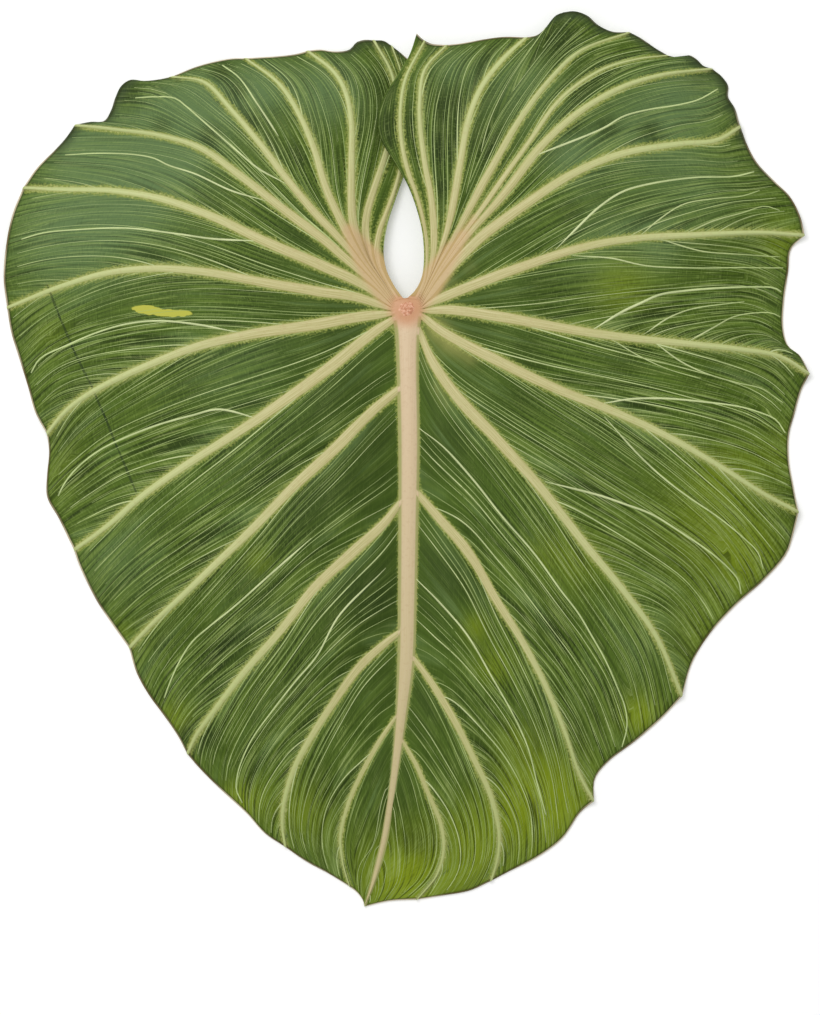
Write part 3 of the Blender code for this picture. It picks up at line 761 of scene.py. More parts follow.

# %% Painted sheen, pale corners and the painted shade of rolled margins
PAINTED_SHEEN = [
    (120, 190, 75, 0.8), (60, 250, 60, 0.5), (200, 110, 50, 0.8), (640, 130, 60, 0.6), (690, 90, 40, 0.6),
    (600, 250, 45, 0.5), (520, 90, 50, 0.5), (240, 370, 60, 0.3), (120, 560, 50, 0.4), (660, 640, 50, 0.3),
    (265, 85, 30, 0.7), (330, 90, 40, 0.7), (160, 150, 40, 0.6), (90, 145, 30, 0.7), (655, 245, 30, 0.5),
    (570, 160, 30, 0.6), (700, 190, 50, 0.4), (450, 70, 30, 0.5),
]
PALER = [
    (436, 330, 13, 0.8), (452, 345, 13, 0.7), (470, 357, 12, 0.5), (430, 362, 9, 0.6), (438, 388, 8, 0.5),
    (446, 404, 8, 0.4), (450, 285, 10, 0.4), (470, 270, 9, 0.3),
]
ROLLED_MARGIN_SHADE = [
    (62, 147, 12, 0.7), (72, 132, 12, 0.9), (90, 122, 12, 0.9), (108, 112, 12, 1.0), (118, 90, 14, 1.0),
    (138, 80, 12, 0.8), (160, 80, 12, 0.6), (352, 46, 14, 0.9), (378, 42, 14, 0.9), (398, 50, 12, 0.8),
    (425, 44, 12, 0.6), (545, 30, 12, 0.9), (560, 16, 14, 1.0), (583, 14, 14, 1.0), (604, 30, 13, 1.0),
    (632, 36, 13, 1.0), (655, 50, 13, 1.0), (680, 59, 13, 1.0), (704, 64, 13, 1.0), (722, 80, 13, 1.0),
    (730, 105, 14, 0.9), (740, 135, 14, 0.8), (760, 172, 14, 0.5),
]
print(len(PAINTED_SHEEN), "places have bloom,", len(PALER), "are paler and", len(ROLLED_MARGIN_SHADE), "are rolled")

# %% How strongly a point lies in such places
def strength_of(places, body):
    """How strongly each point lies in any of the soft round places (x, y, radius, strength)."""
    total = np.zeros(len(body))
    for x, y, radius, strength in places:
        away = np.hypot(*(body[:, :2] - placed(plan((x, y)))).T) / (radius * MM_PER_PIXEL)
        total += strength * np.exp(-away ** 2)
    return np.clip(total, 0, 1)


PLACES = {
    "yellower": YELLOWER, "dark_green_and_shade": DARK_GREEN_AND_SHADE, "painted_sheen": PAINTED_SHEEN, "trunk": TRUNKS, "paler": PALER, "rolled_margin_shade": ROLLED_MARGIN_SHADE,
}
for name, places in PLACES.items():
    print(name, "covers", round(100 * float(strength_of(places, level).mean())), "% of the leaf")

# %% [markdown]
# ## From a sheet to a body
#
# The blade has an upper and a lower face over the same points, and a narrow wall round its margin.
# Where its lowest waves come down to the table they are pressed flat, as a real leaf's are by its
# own weight. Underneath, the blade stands out below every rib. A closed body is made straight from
# points and faces, because a thickness added to a thin curled sheet would fold over at its margin.

# %% Closed bodies from the sheet
UP = np.array((0, 0, 1.0))


def closed(lower, upper, cells):
    """Points and faces of a body closed over two faces, and the sheet point that each point came from."""
    used = sorted({k for cell in cells for k in cell})
    place = {k: i for i, k in enumerate(used)}
    faces = []
    edges = set()
    for cell in ([place[k] for k in cell] for cell in cells):
        faces.append(cell)
        faces.append([k + len(used) for k in reversed(cell)])
        edges |= set(zip(cell, cell[1:] + cell[:1]))
    for a, b in sorted(edges):
        if (b, a) not in edges:
            faces.append([b, a, a + len(used), b + len(used)])
    return np.vstack([upper[used], lower[used]]), faces, np.array(used + used)


corner = np.array([(0, 0, 0), (1, 0, 0), (0, 1, 0)])
print("one triangle of the sheet closes to", len(closed(corner - UP, corner, [[0, 1, 2]])[1]), "faces")

# %% A piece of the leaf and the facts on its points
PIECES = []


def add_piece(name, body, faces, replaced=None):
    """A smooth-shaded piece of the leaf, from points in millimetres."""
    mesh = bpy.data.meshes.new(name)
    mesh.from_pydata((body / 1000).tolist(), [], faces)
    mesh.shade_smooth()
    mesh.update()
    piece = bpy.data.objects.new(name, mesh)
    bpy.context.scene.collection.objects.link(piece)
    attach(piece, "root")
    if replaced:
        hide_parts(replaced)
    PIECES.append(piece)
    mesh.calc_loop_triangles()
    print(name, len(mesh.loop_triangles), "triangles")
    return piece


def add_fact(piece, name, values):
    """Stores one number for each point of a piece, for its finish to read."""
    piece.data.attributes.new(name, "FLOAT", "POINT").data.foreach_set("value", np.float32(values))


def add_facts(piece, source):
    """Stores what the sheet knows about each point."""
    for k, name in enumerate(FACTS):
        add_fact(piece, name, facts[source, k])
    add_fact(piece, "knob_mm", from_knob[source])


print("a point of the blade or the ribs carries", len(FACTS) + 1, "facts to begin with")

# %% The blade
MARGIN_THICKNESS = 0.7
KNOB_OPENING = 5.0  # the stalk comes through a round opening under the knob
TRUNK_LIFT = 0.35  # in the trunks the blade between the ribs is filled up almost to their height
green = [cell for cell in sheet.cells if from_knob[cell].min() > KNOB_OPENING]
channel = level[:, 2] - CHANNEL_DEPTH * depth
thickness = MARGIN_THICKNESS + (BLADE_THICKNESS - MARGIN_THICKNESS) * np.exp(BLADE_THICKNESS - channel)
lower = level.copy()
lower[:, 2] = channel - thickness
lift = TRUNK_LIFT * strength_of(TRUNKS, level)
body, faces, source = closed(lower, level + lift[:, None] * UP, green)
blade = add_piece("leaf_blade", body, faces, "blade")
add_facts(blade, source)
add_fact(blade, "underside", np.repeat([0.0, 1.0], len(source) // 2))
for name, places in PLACES.items():
    add_fact(blade, name, strength_of(places, body))

# %% [markdown]
# ## The ribs
#
# On this leaf the midrib and the side veins are broad, pale and only slightly arched, widest at the
# knob where the stalk comes in from below, and thin at the margin. Their edges dip just under the
# blade's upper face, so no gap shows.

# %% How high the ribs stand
RIB_ARCH = 1.1
KNOB_HEIGHT = 1.8
KNOB_RADIUS = 6.0
KNOB_BED = 0.5  # near the knob the ribs run together into a flat bed
# The arch gets lower away from the knob, begins low on the side veins and almost goes in the trunks.
arch = RIB_ARCH * crest * (1 - 0.6 * np.clip(from_knob / 200, 0, 1))
is_midrib = facts[:, FACTS.index("midrib")] > 0
arch *= np.where(is_midrib, 1, 0.4 + 0.6 * np.clip((from_knob - 6) / 50, 0, 1))
arch *= np.where(is_midrib, 1, 1 - 0.85 * strength_of(TRUNKS, level))
at_knob = np.exp(-((from_knob / 8.5) ** 4))
arch = arch * (1 - at_knob) + KNOB_BED * at_knob + lift * (1 - at_knob)
arch += KNOB_HEIGHT * np.exp(-((from_knob / KNOB_RADIUS) ** 2))
print("the ribs stand up to", round(float(arch.max()), 2), "mm above the blade, at the knob")

# %% The ribs
crown = level + (arch - 0.03)[:, None] * UP
bed = level - (0.08 + 0.3 * np.minimum(1, 3 * crest))[:, None] * UP
pale = [cell for cell, rib in zip(sheet.cells, sheet.ribs) if rib]
body, faces, source = closed(bed, crown, pale)
ribs = add_piece("pale_ribs", body, faces, "ribs")
add_facts(ribs, source)
add_fact(ribs, "crest", crest[source])
add_fact(ribs, "trunk", strength_of(TRUNKS, body))

# %% [markdown]
# ## The knob
#
# All ribs meet in a low round knob above the stalk. Its skin has healed into small rounded bumps
# about a millimetre wide. They could be a bump texture, but they catch the light and break the
# outline from the side, so they are raised in a fine round mesh laid on the ribs.

# %% The knob's small bumps
KNOB_REACH = 5.8
BUMP_HEIGHT = 0.75  # a bump's height as a share of its radius
rng = np.random.default_rng(3)
bumps = rng.uniform(-1, 1, (54, 2)) * (4.3, 3.9)
sizes = rng.uniform(0.42, 0.8, len(bumps))
print(len(bumps), "bumps on the knob,", round(2 * sizes.mean(), 2), "mm across on average")

# %% The height of a surface below a place
def drop(tree, x, y):
    """The height of the first surface below a place, and nan where there is none."""
    hit = tree.ray_cast((x, y, 100), (0, 0, -1))[0]
    return hit[2] if hit else np.nan


ribs_top = BVHTree.FromPolygons(crown.tolist(), pale)
print("under the knob the ribs reach", round(drop(ribs_top, knob[0], knob[1]), 1), "mm above the table")

# %% The bumpy knob
def knob_body(rings=44, sides=150):
    """A round patch over the knob, covered with small bumps and tucked in at its rim."""
    radius = KNOB_REACH * np.linspace(0.0001, 1, rings)[:, None]
    turn = np.linspace(0, 2 * np.pi, sides, endpoint=False)
    x = (radius * np.cos(turn)).ravel()
    y = (radius * np.sin(turn)).ravel()
    top = crown[from_knob.argmin(), 2]
    z = np.array([drop(ribs_top, knob[0] + a, knob[1] + b) for a, b in zip(x, y)])
    z = np.where(np.isnan(z), top - 4, z)
    rise = np.zeros_like(x)
    for (a, b), size in zip(bumps, sizes):
        rise = np.maximum(rise, BUMP_HEIGHT * size * np.exp(-((x - a) ** 2 + (y - b) ** 2) / size ** 2))
    fade = np.clip(1.25 - 1.25 * np.hypot(x, y) / KNOB_REACH, 0, 1)
    upper = np.stack([knob[0] + x, knob[1] + y, z + 0.1 + rise * fade - 0.6 * (1 - fade)], axis=1)
    lower = upper - 0.8 * UP
    cells = []
    for i in range(rings - 1):
        for j in range(sides):
            k = (j + 1) % sides
            cell = [i * sides + j, (i + 1) * sides + j, (i + 1) * sides + k, i * sides + k]
            if not np.any(z[cell] < top - 3):
                cells.append(cell)
    return closed(lower, upper, cells)


body, faces, source = knob_body()
bumpy_knob = add_piece("knob_where_the_stalk_joins", body, faces, None)
add_fact(bumpy_knob, "knob_mm", np.hypot(body[:, 0] - knob[0], body[:, 1] - knob[1]))

# %% [markdown]
# ## The cut stalk
#
# The stalk comes up from below and was cut short when the leaf was picked. It is hidden in the
# picture, so a plain round one is made, slightly waisted, with six shallow grooves.

# %% The cut stalk
STALK_RADIUS = 3.6
STALK_CUT_HEIGHT = 2.0
STALK_LEAN = 2.5
STALK_TOP = NOTCH_HEIGHT - SETTLE + 0.4  # just inside the ribs


def stalk_body(top, bottom, radius, sides=40, rings=14):
    """A round stalk with shallow grooves and a flat cut end."""
    turn = np.linspace(0, 2 * np.pi, sides, endpoint=False)
    found = []
    for t in np.linspace(0, 1, rings):
        centre = np.array(top) * (1 - t) + np.array(bottom) * t
        r = radius * (1 - 0.12 * np.sin(np.pi * t)) * (1 - 0.02 * (1 + np.cos(6 * turn)))
        found.append(np.stack([centre[0] + r * np.cos(turn), centre[1] + r * np.sin(turn),
                               np.full(sides, centre[2])], axis=1))
    last = (rings - 1) * sides
    faces = [list(range(sides)), list(range(last + sides - 1, last - 1, -1))]
    for k in range(0, last, sides):
        for s in range(sides):
            after = (s + 1) % sides
            faces.append([k + after, k + s, k + s + sides, k + after + sides])
    return np.vstack(found), faces


stalk_top = (knob[0], knob[1], STALK_TOP)
stalk_cut = (knob[0], knob[1] - STALK_LEAN, STALK_CUT_HEIGHT)
body, faces = stalk_body(stalk_top, stalk_cut, STALK_RADIUS)
stalk = add_piece("cut_stalk", body, faces, "ribs")
add_fact(stalk, "crest", np.ones(len(body)))
add_fact(stalk, "knob_mm", 8 + STALK_TOP - body[:, 2])
add_fact(stalk, "lane_mm", STALK_RADIUS * np.arctan2(body[:, 1] - knob[1], body[:, 0] - knob[0]))
add_fact(stalk, "along_mm", body[:, 2])

# %% [markdown]
# ## The fine veins
#
# Each fine vein is a thin raised line, pointed at its end. Its route is worked out in the sector's
# own rows and columns and then read off the same grid as the blade, so it lies on the blade
# wherever the blade bends. No two are the same: they wander a little, every fourth one is bolder,
# and the faint ones fade out before the margin. Those that the eye can follow in the picture lie 2 to
# 4 mm apart, with fainter ones between them. A real one is perhaps a quarter of a millimetre wide.
# Here they are drawn about twice as wide, so that each one shows.

# %% Reading a sector's grid at any place
def on_grid(grid, u, v):
    """Points of the blade's upper face at shares u out from the rim and v across the sector."""
    row = np.clip(u * ROWS, 0, ROWS - 1e-6)
    i = row.astype(int)
    f = (row - i)[:, None]
    across = grid["v"][i] * (1 - f) + grid["v"][i + 1] * f
    column = np.array([np.interp(v[k], across[k], np.arange(across.shape[1])) for k in range(len(v))])
    column = np.clip(column, 0, across.shape[1] - 1 - 1e-6)
    j = column.astype(int)
    g = (column - j)[:, None]
    surface = np.dstack([grid["xy"], grid["z"]])
    near = surface[i, j] * (1 - g) + surface[i, j + 1] * g
    far = surface[i + 1, j] * (1 - g) + surface[i + 1, j + 1] * g
    return placed(near * (1 - f) + far * f)


middle = on_grid(GRIDS[5], np.array([0.5]), np.array([0.5]))[0]
print("the middle of the sixth sector lies at", middle.round(1), "mm")

# %% Raised lines along routes
SUNK = 0.1  # the foot of each line lies this far under the blade's face, so no gap shows


def raised_lines(routes):
    """Closed three-sided lines along routes of (points, widths, heights)."""
    body, faces, out, bold = [], [], [], []
    for route, widths, heights in routes:
        ahead = np.gradient(route, axis=0)
        side = np.stack([-ahead[:, 1], ahead[:, 0], 0 * ahead[:, 0]], axis=1)
        side /= np.maximum(np.linalg.norm(side, axis=1), 1e-6)[:, None]
        start = len(body)
        for k, (p, s) in enumerate(zip(route, side)):
            sunk = p - SUNK * UP
            body += [sunk - s * widths[k] / 2, p + heights[k] * UP, sunk + s * widths[k] / 2]
        out += np.repeat(np.linspace(0, 1, len(route)), 3).tolist()
        bold += [max(widths)] * (3 * len(route))
        for k in range(len(route) - 1):
            a = start + 3 * k
            faces += [[a, a + 1, a + 4, a + 3], [a + 1, a + 2, a + 5, a + 4], [a + 2, a, a + 3, a + 5]]
        last = start + 3 * (len(route) - 1)
        faces += [[start, start + 2, start + 1], [last, last + 1, last + 2]]
    return np.array(body), faces, np.array(out), np.array(bold)


def no_repeats(route):
    """The route without points that lie on the one before."""
    keep = np.append(True, np.linalg.norm(np.diff(route, axis=0), axis=1) > 0.05)
    return route[keep]


straight = np.array([(0, 0, 0), (5, 0, 0), (10, 0, 0.0)])
print("a line of three points has", len(raised_lines([(straight, np.ones(3), np.ones(3))])[1]), "faces")

# %% The fine veins of every sector
FINE_VEIN_SPACING = 1.9
FINE_VEIN_WIDTH = 0.52
FINE_VEIN_HEIGHT = 0.14
BOLD_EVERY = 4
FEWEST_POINTS = 6
rng = np.random.default_rng(7)
faint, bold = [], []
for grid in GRIDS:
    count = round(grid["outer"] / FINE_VEIN_SPACING)
    if grid["outer"] < 8 or count < 3:
        continue
    step = grid["outer"] / count
    for k in range(count):
        chosen = k % BOLD_EVERY == 2
        place = (k + 0.5 + rng.uniform(-0.3, 0.3)) * step - grid["outer"] * MIDDLE
        end = rng.uniform(0.955, 0.99) if chosen else rng.uniform(0.86, 0.985)
        u, v, begin = fine_vein(grid, place, end, rng.uniform(-1.7, 1.7))
        if begin > 0.9:
            continue
        route = no_repeats(on_grid(grid, u, v))
        if len(route) < FEWEST_POINTS:
            continue
        t = np.linspace(0, 1, len(route))
        strength = rng.uniform(0.55, 1.4) * np.clip(0.45 + 1.8 * (begin + (end - begin) * t), 0, 1)
        strength *= (1 - 0.45 * strength_of(PAINTED_SHEEN, route)) * (1 - strength_of(TRUNKS, route))
        width = FINE_VEIN_WIDTH * (1.4 if chosen else 1.0) * strength * (1.1 - 0.5 * t)
        width *= np.minimum(1, 0.35 + 3 * t)
        height = FINE_VEIN_HEIGHT * (1.5 if chosen else 1.0) * (1 - 0.6 * t)
        height = (height + 0.08) * (1 - strength_of(TRUNKS, route)) - 0.08
        (bold if chosen else faint).append((route, width, height))
print(len(faint), "faint and", len(bold), "bold fine veins")

# %% [markdown]
# ## The bright veins
#
# A few veins between the side veins are much brighter than the rest, and the eye knows the leaf by
# them. Their routes were read off the picture, with each one's width in picture pixels. Each
# route is drawn out 4 mm backward, so that the vein grows out of its rib.

# %% Routes of the bright veins
BRIGHT = [
    (2.6, [(275, 131), (258, 105), (240, 79), (223, 66)]),
    (2.6, [(280, 182), (260, 171), (233, 148), (206, 124), (188, 108), (176, 99), (156, 97), (136, 98)]),
    (2.4, [(260, 201), (233, 193), (197, 176), (170, 167), (156, 160), (136, 156), (100, 154), (66, 155)]),
    (2.6, [(257, 243), (215, 241), (180, 236), (129, 230), (81, 231), (45, 234), (23, 240)]),
    (2.8, [(232, 332), (201, 326), (161, 322), (129, 325), (100, 333), (68, 346), (41, 359), (32, 373)]),
    (2.8, [(258, 419), (221, 410), (194, 416), (161, 425), (129, 437), (100, 451), (77, 469), (65, 484),
           (59, 496)]),
    (2.6, [(306, 544), (272, 574), (236, 606), (211, 626), (193, 642), (179, 664), (170, 684),
           (165, 698)]),
    (2.4, [(380, 574), (340, 615), (318, 655), (297, 680), (275, 708), (254, 737), (244, 757), (238, 775),
           (237, 790), (243, 803)]),
    (2.8, [(540, 156), (601, 131), (623, 118), (648, 111), (676, 106), (698, 100), (718, 89)]),
    (3.0, [(561, 245), (576, 230), (597, 210), (621, 194), (648, 186), (693, 179), (734, 177),
           (754, 172)]),
    (3.4, [(598, 327), (621, 313), (640, 304), (658, 296), (682, 292), (713, 289), (756, 287), (774, 288),
           (781, 292)]),
    (2.0, [(580, 258), (610, 260), (637, 266), (652, 268), (698, 269), (741, 268), (783, 268)]),
    (2.8, [(609, 403), (627, 400), (661, 399), (700, 402), (740, 407), (761, 413), (776, 420),
           (785, 433)]),
    (2.2, [(609, 424), (636, 454), (663, 479), (690, 499), (717, 517), (742, 537), (758, 553),
           (763, 569)]),
    (2.8, [(553, 484), (600, 496), (623, 504), (650, 514), (681, 533), (708, 551), (726, 566), (738, 580),
           (741, 594)]),
    (2.6, [(421, 430), (443, 447), (472, 479), (502, 517), (534, 554), (560, 590), (577, 612), (592, 637),
           (605, 660), (617, 687), (625, 707), (627, 727), (622, 747)]),
    (2.4, [(419, 581), (440, 602), (467, 634), (491, 675), (514, 716), (528, 748), (537, 783),
           (546, 815)]),
    (1.8, [(644, 233), (658, 221), (682, 206), (713, 200), (741, 197), (759, 191)]),
    (1.8, [(693, 231), (713, 222), (741, 214), (764, 207), (779, 211)]),
    (1.8, [(666, 243), (690, 250), (705, 253), (741, 255), (780, 257)]),
    (2.0, [(649, 331), (667, 319), (690, 310), (728, 304), (744, 302)]),
    (2.0, [(693, 339), (713, 328), (731, 318), (747, 314), (771, 313), (780, 317)]),
    (2.0, [(658, 347), (679, 362), (705, 374), (736, 383), (762, 389), (783, 403)]),
    (1.6, [(616, 344), (636, 356), (667, 370), (700, 379)]),
]
print(len(BRIGHT), "bright veins, the widest", round(max(w for w, _ in BRIGHT) * MM_PER_PIXEL, 1), "mm wide")

# %% Bright veins laid on the blade
ADDED_AT_THE_ROOT = 9  # picture pixels
BRIGHT_VEIN_HEIGHT = 0.36
blade_top = BVHTree.FromPolygons(level.tolist(), sheet.cells)
for width, route in BRIGHT:
    back = np.array(route[0], float) - route[1]
    begin = route[0] + back * ADDED_AT_THE_ROOT / np.linalg.norm(back)
    curve = Curve(plan([tuple(begin)] + route))
    flat = placed(curve.at(np.linspace(0, 1, max(16, round(curve.length / 2.5)))))
    t = np.linspace(0, 1, len(flat))
    height = np.array([drop(blade_top, x, y) for x, y in flat])
    route = np.column_stack([flat, height])[~np.isnan(height)]
    t = t[~np.isnan(height)]
    swell = np.minimum(1, 0.3 + 5 * t)
    widths = width * MM_PER_PIXEL * (1.15 - 0.4 * t) * swell
    bold.append((route, widths, BRIGHT_VEIN_HEIGHT * (1 - 0.5 * t) * swell))
print(len(bold), "bold and bright veins together")

# %% [markdown]
# ## Hairs beside the ribs
#
# Between the long fine veins many short ones leave a rib like the barbs of a feather. They belong to
# the same families, so they bend side by side with the long ones, and they fade into the green
# within a centimetre or three.

# %% Short fine veins that leave a rib
HAIR_SPACING = 2.1
HAIR_WIDTH = 0.42
HAIR_HEIGHT = 0.16
rng = np.random.default_rng(11)
short = []


def add_hair(grid, u, v, strength):
    """Adds one short vein, weaker under the painted sheen and gone in the trunks."""
    route = on_grid(grid, u, v)
    t = np.linspace(0, 1, len(route))
    bare = (1 - strength_of(TRUNKS, route)) * (1 - 0.5 * strength_of(PAINTED_SHEEN, route))
    heights = HAIR_HEIGHT * bare * (1 - 0.9 * t) - 0.03
    short.append((route, HAIR_WIDTH * strength * bare * (1 - 0.7 * t), heights))


for grid in GRIDS:
    length = grid["along"].max()
    for base_side, bands in zip((True, False), grid["bands"]):
        if bands < BAND_COLUMNS:
            continue
        for start in np.arange(0.05, 0.95, HAIR_SPACING / length) + rng.uniform(0, HAIR_SPACING / length):
            end = start + rng.uniform(12, 34) / length * min(1, 0.35 + 1.3 * start)
            u = start + (min(end, 0.985) - start) * np.linspace(0, 1, 8) ** 1.3
            strength = rng.uniform(0.7, 1.15) * min(1, 0.5 + 1.5 * start)
            add_hair(grid, *along_family(grid, base_side, start, u, 0.0), strength)
    for place in np.arange(0.06, 0.94, 1.0 / max(grid["inner"], 1.0)) if grid["inner"] > 10 else []:
        u = 0.002 + rng.uniform(2.0, 7.0) * np.linspace(0, 1, 7) / length
        add_hair(grid, u, place + 0 * u, rng.uniform(0.8, 1.3))
print(len(short), "hairs beside the ribs")

# %% The three kinds as pieces
for name, routes in (
    ("faint_fine_veins", faint), ("bright_fine_veins", bold), ("hairs_beside_the_ribs", short),
):
    body, faces, out, wide = raised_lines(routes)
    piece = add_piece(name, body, faces, None)
    add_fact(piece, "out", out)
    add_fact(piece, "wide_mm", wide)

# %% [markdown]
# ## The last squeeze
#
# The raised veins must not make the leaf taller than the solid model, so every piece is lowered by
# the same small share of its height.

# %% Lower every piece to the solid's height
squeeze = min(1, 0.9995 * CAD_HIGH[2] / max(v.co.z for piece in PIECES for v in piece.data.vertices))
for piece in PIECES:
    place = np.empty(3 * len(piece.data.vertices), np.float32)
    piece.data.vertices.foreach_get("co", place)
    place[2::3] *= squeeze
    piece.data.vertices.foreach_set("co", place)
    piece.data.update()
print("heights multiplied by", round(squeeze, 4))

# %% [markdown]
# ## Colours and a way to build a finish
#
# Colours are written as they would be picked on a screen, and one function turns them into the
# linear values that light works with. One function adds a node with its settings and links. Every
# finish is built from noise and from the numbers stored on the points, one thin coat of colour over
# another, and its patterns have their real sizes in millimetres.

# %% Colour and node helpers
def colour(code):
    """A screen colour such as #435523 as linear red, green, blue and alpha."""
    parts = [int(code[k:k + 2], 16) / 255 for k in (1, 3, 5)]
    return tuple(p / 12.92 if p <= 0.04045 else ((p + 0.055) / 1.055) ** 2.4 for p in parts) + (1.0,)


def node(tree, kind, inputs=None, **settings):
    """Adds a node with its settings, and gives its inputs values or links them to other outputs."""
    made = tree.nodes.new(kind)
    for name, value in settings.items():
        setattr(made, name, value)
    for name, value in (inputs or {}).items():
        if isinstance(value, bpy.types.NodeSocket):
            tree.links.new(value, made.inputs[name])
        else:
            made.inputs[name].default_value = value
    return made


def finish(name, facts_read, **values):
    """A new material, its node tree, its shader, and the stored numbers that it reads."""
    material = bpy.data.materials.new(name)
    material.use_nodes = True
    tree = material.node_tree
    shader = tree.nodes["Principled BSDF"]
    for key, value in values.items():
        shader.inputs[key.replace("_", " ")].default_value = value
    read = {}
    for fact in facts_read:
        read[fact] = node(tree, "ShaderNodeAttribute", attribute_name=fact).outputs["Fac"]
    return material, tree, shader, read


print("a mid leaf green in linear light:", [round(part, 3) for part in colour("#4B6320")[:3]])

# %% Coats, streaks and blotches
def coat(tree, under, over, value, none_at, full_at, most=1.0, where=None):
    """One colour laid over another: none where a value is at none_at, and most where it is at full_at."""
    limits = {"Value": value, "From Min": none_at, "From Max": full_at, "To Max": most}
    share = node(tree, "ShaderNodeMapRange", limits, interpolation_type="SMOOTHSTEP").outputs[0]
    if where:
        share = node(tree, "ShaderNodeMath", {0: share, 1: where}, operation="MULTIPLY").outputs[0]
    under, over = (colour(c) if isinstance(c, str) else c for c in (under, over))
    return node(tree, "ShaderNodeMix", {0: share, 6: under, 7: over}, data_type="RGBA").outputs[2]


def streaks(tree, across, along, width, length, detail=2.0):
    """Noise drawn out along the veins, in streaks of a width and length in millimetres."""
    x = node(tree, "ShaderNodeMath", {0: across, 1: width}, operation="DIVIDE").outputs[0]
    y = node(tree, "ShaderNodeMath", {0: along, 1: length}, operation="DIVIDE").outputs[0]
    vector = node(tree, "ShaderNodeCombineXYZ", {"X": x, "Y": y}).outputs[0]
    return node(tree, "ShaderNodeTexNoise", {"Vector": vector, "Scale": 1.0, "Detail": detail}).outputs[0]


def blotches(tree, size, detail=2.0):
    """Noise in blotches of a size in millimetres."""
    where = node(tree, "ShaderNodeTexCoord").outputs["Object"]
    inputs = {"Vector": where, "Scale": 1000 / size, "Detail": detail}
    return node(tree, "ShaderNodeTexNoise", inputs).outputs[0]


print("blotches 36 mm wide repeat", round(LEAF_LENGTH / 36), "times along the leaf")

# %% A small mark at a place
def mark(tree, under, over, begin, end, half_width, ragged, most=1.0):
    """A colour laid over another in a long narrow spot between two picture points, with a ragged edge."""
    a, b = placed(plan(begin)), placed(plan(end))
    place = np.append((a + b) / 2, 0) / 1000
    turn = math.atan2(b[1] - a[1], b[0] - a[0])
    size = (np.linalg.norm(b - a) / 2000, half_width / 1000, 1.0)
    where = node(tree, "ShaderNodeTexCoord").outputs["Object"]
    inputs = {"Vector": where, "Location": tuple(place), "Rotation": (0, 0, turn), "Scale": size}
    inside = node(tree, "ShaderNodeMapping", inputs, vector_type="TEXTURE").outputs[0]
    flat = node(tree, "ShaderNodeVectorMath", {0: inside, 1: (1, 1, 0)}, operation="MULTIPLY").outputs[0]
    away = node(tree, "ShaderNodeVectorMath", {0: flat}, operation="LENGTH").outputs["Value"]
    edge = {0: blotches(tree, 3.0), 1: 4 * ragged, 2: away}
    away = node(tree, "ShaderNodeMath", edge, operation="MULTIPLY_ADD").outputs[0]
    return coat(tree, under, over, away, 1.0 + 2 * ragged, 0.85 + 2 * ragged, most)


print("a mark's ragged edge has notches 3 mm wide, or", round(3 / MM_PER_PIXEL), "pixels")

# %% [markdown]
# ## The blade's finish
#
# A leaf's upper face is its cuticle: a clear skin of wax about a micron thick that grew over soft
# green cells. The wax has an index of about 1.4, and it is rough at the scale of the cells, so the
# eye sees a satin green with broad, weak reflections. Along each rib the cream colour runs out into
# the green. Dark and light streaks about 1 mm wide follow the fine veins, and the rungs that tie
# the fine veins together are drawn 0.7 mm apart, twice as far as real ones, so that they show.

# %% Sizes of the blade's patterns
# Each is a streak's width and length in millimetres. The thinnest veins and the rungs of a real leaf
# are too fine to show, so both are drawn about twice as coarse.
SOFT_FOLD_LIGHT_AND_SHADE = (6, 60)
LANES = (1.1, 45)
THIN_VEINS = (0.45, 25)
RUNGS = (0.7, 2.6)
BARBS = (0.3, 14)
print("the thinnest veins are", round(THIN_VEINS[0] / MM_PER_PIXEL, 1), "pixels of the picture wide")

# %% Leaf green, its fields, and painted light and shade of its soft folds
leaf_green, tree, shader, fact = finish(
    "satin_leaf_cuticle",
    ("rib_mm", "family_mm", "along_mm", "margin_mm", "out", "underside", *PLACES),
    Roughness=0.52, IOR=1.4, Sheen_Weight=0.015, Sheen_Roughness=0.4, Specular_IOR_Level=0.13,
)
tint = coat(tree, "#3E5318", "#4B6320", blotches(tree, 36), 0.35, 0.65)
tint = coat(tree, tint, "#5C7422", fact["out"], 0.1, 1.0, 0.35)
# Painted light and shade: streaks 6 mm wide along the fine veins, lighter and darker like soft folds that
# face the light or turn from it.
fold_light_and_shade = streaks(tree, fact["family_mm"], fact["along_mm"], *SOFT_FOLD_LIGHT_AND_SHADE)
tint = coat(tree, tint, "#6D8650", fold_light_and_shade, 0.52, 0.68, 0.4)
tint = coat(tree, tint, "#2F4212", fold_light_and_shade, 0.48, 0.34, 0.5)
# Painted sheen: grey-green where the lobes tilt toward the light.
tint = coat(tree, tint, "#627B4B", fact["painted_sheen"], 0, 0.85)
tint = coat(tree, tint, "#829514", fact["yellower"], 0, 1)
# Partly a darker green of the leaf, partly painted shade on folds, beside ribs and on rolled lobes.
tint = coat(tree, tint, "#2C3D14", fact["dark_green_and_shade"], 0, 1, 0.9)
print(len(tree.nodes), "nodes for the greens and the folds")

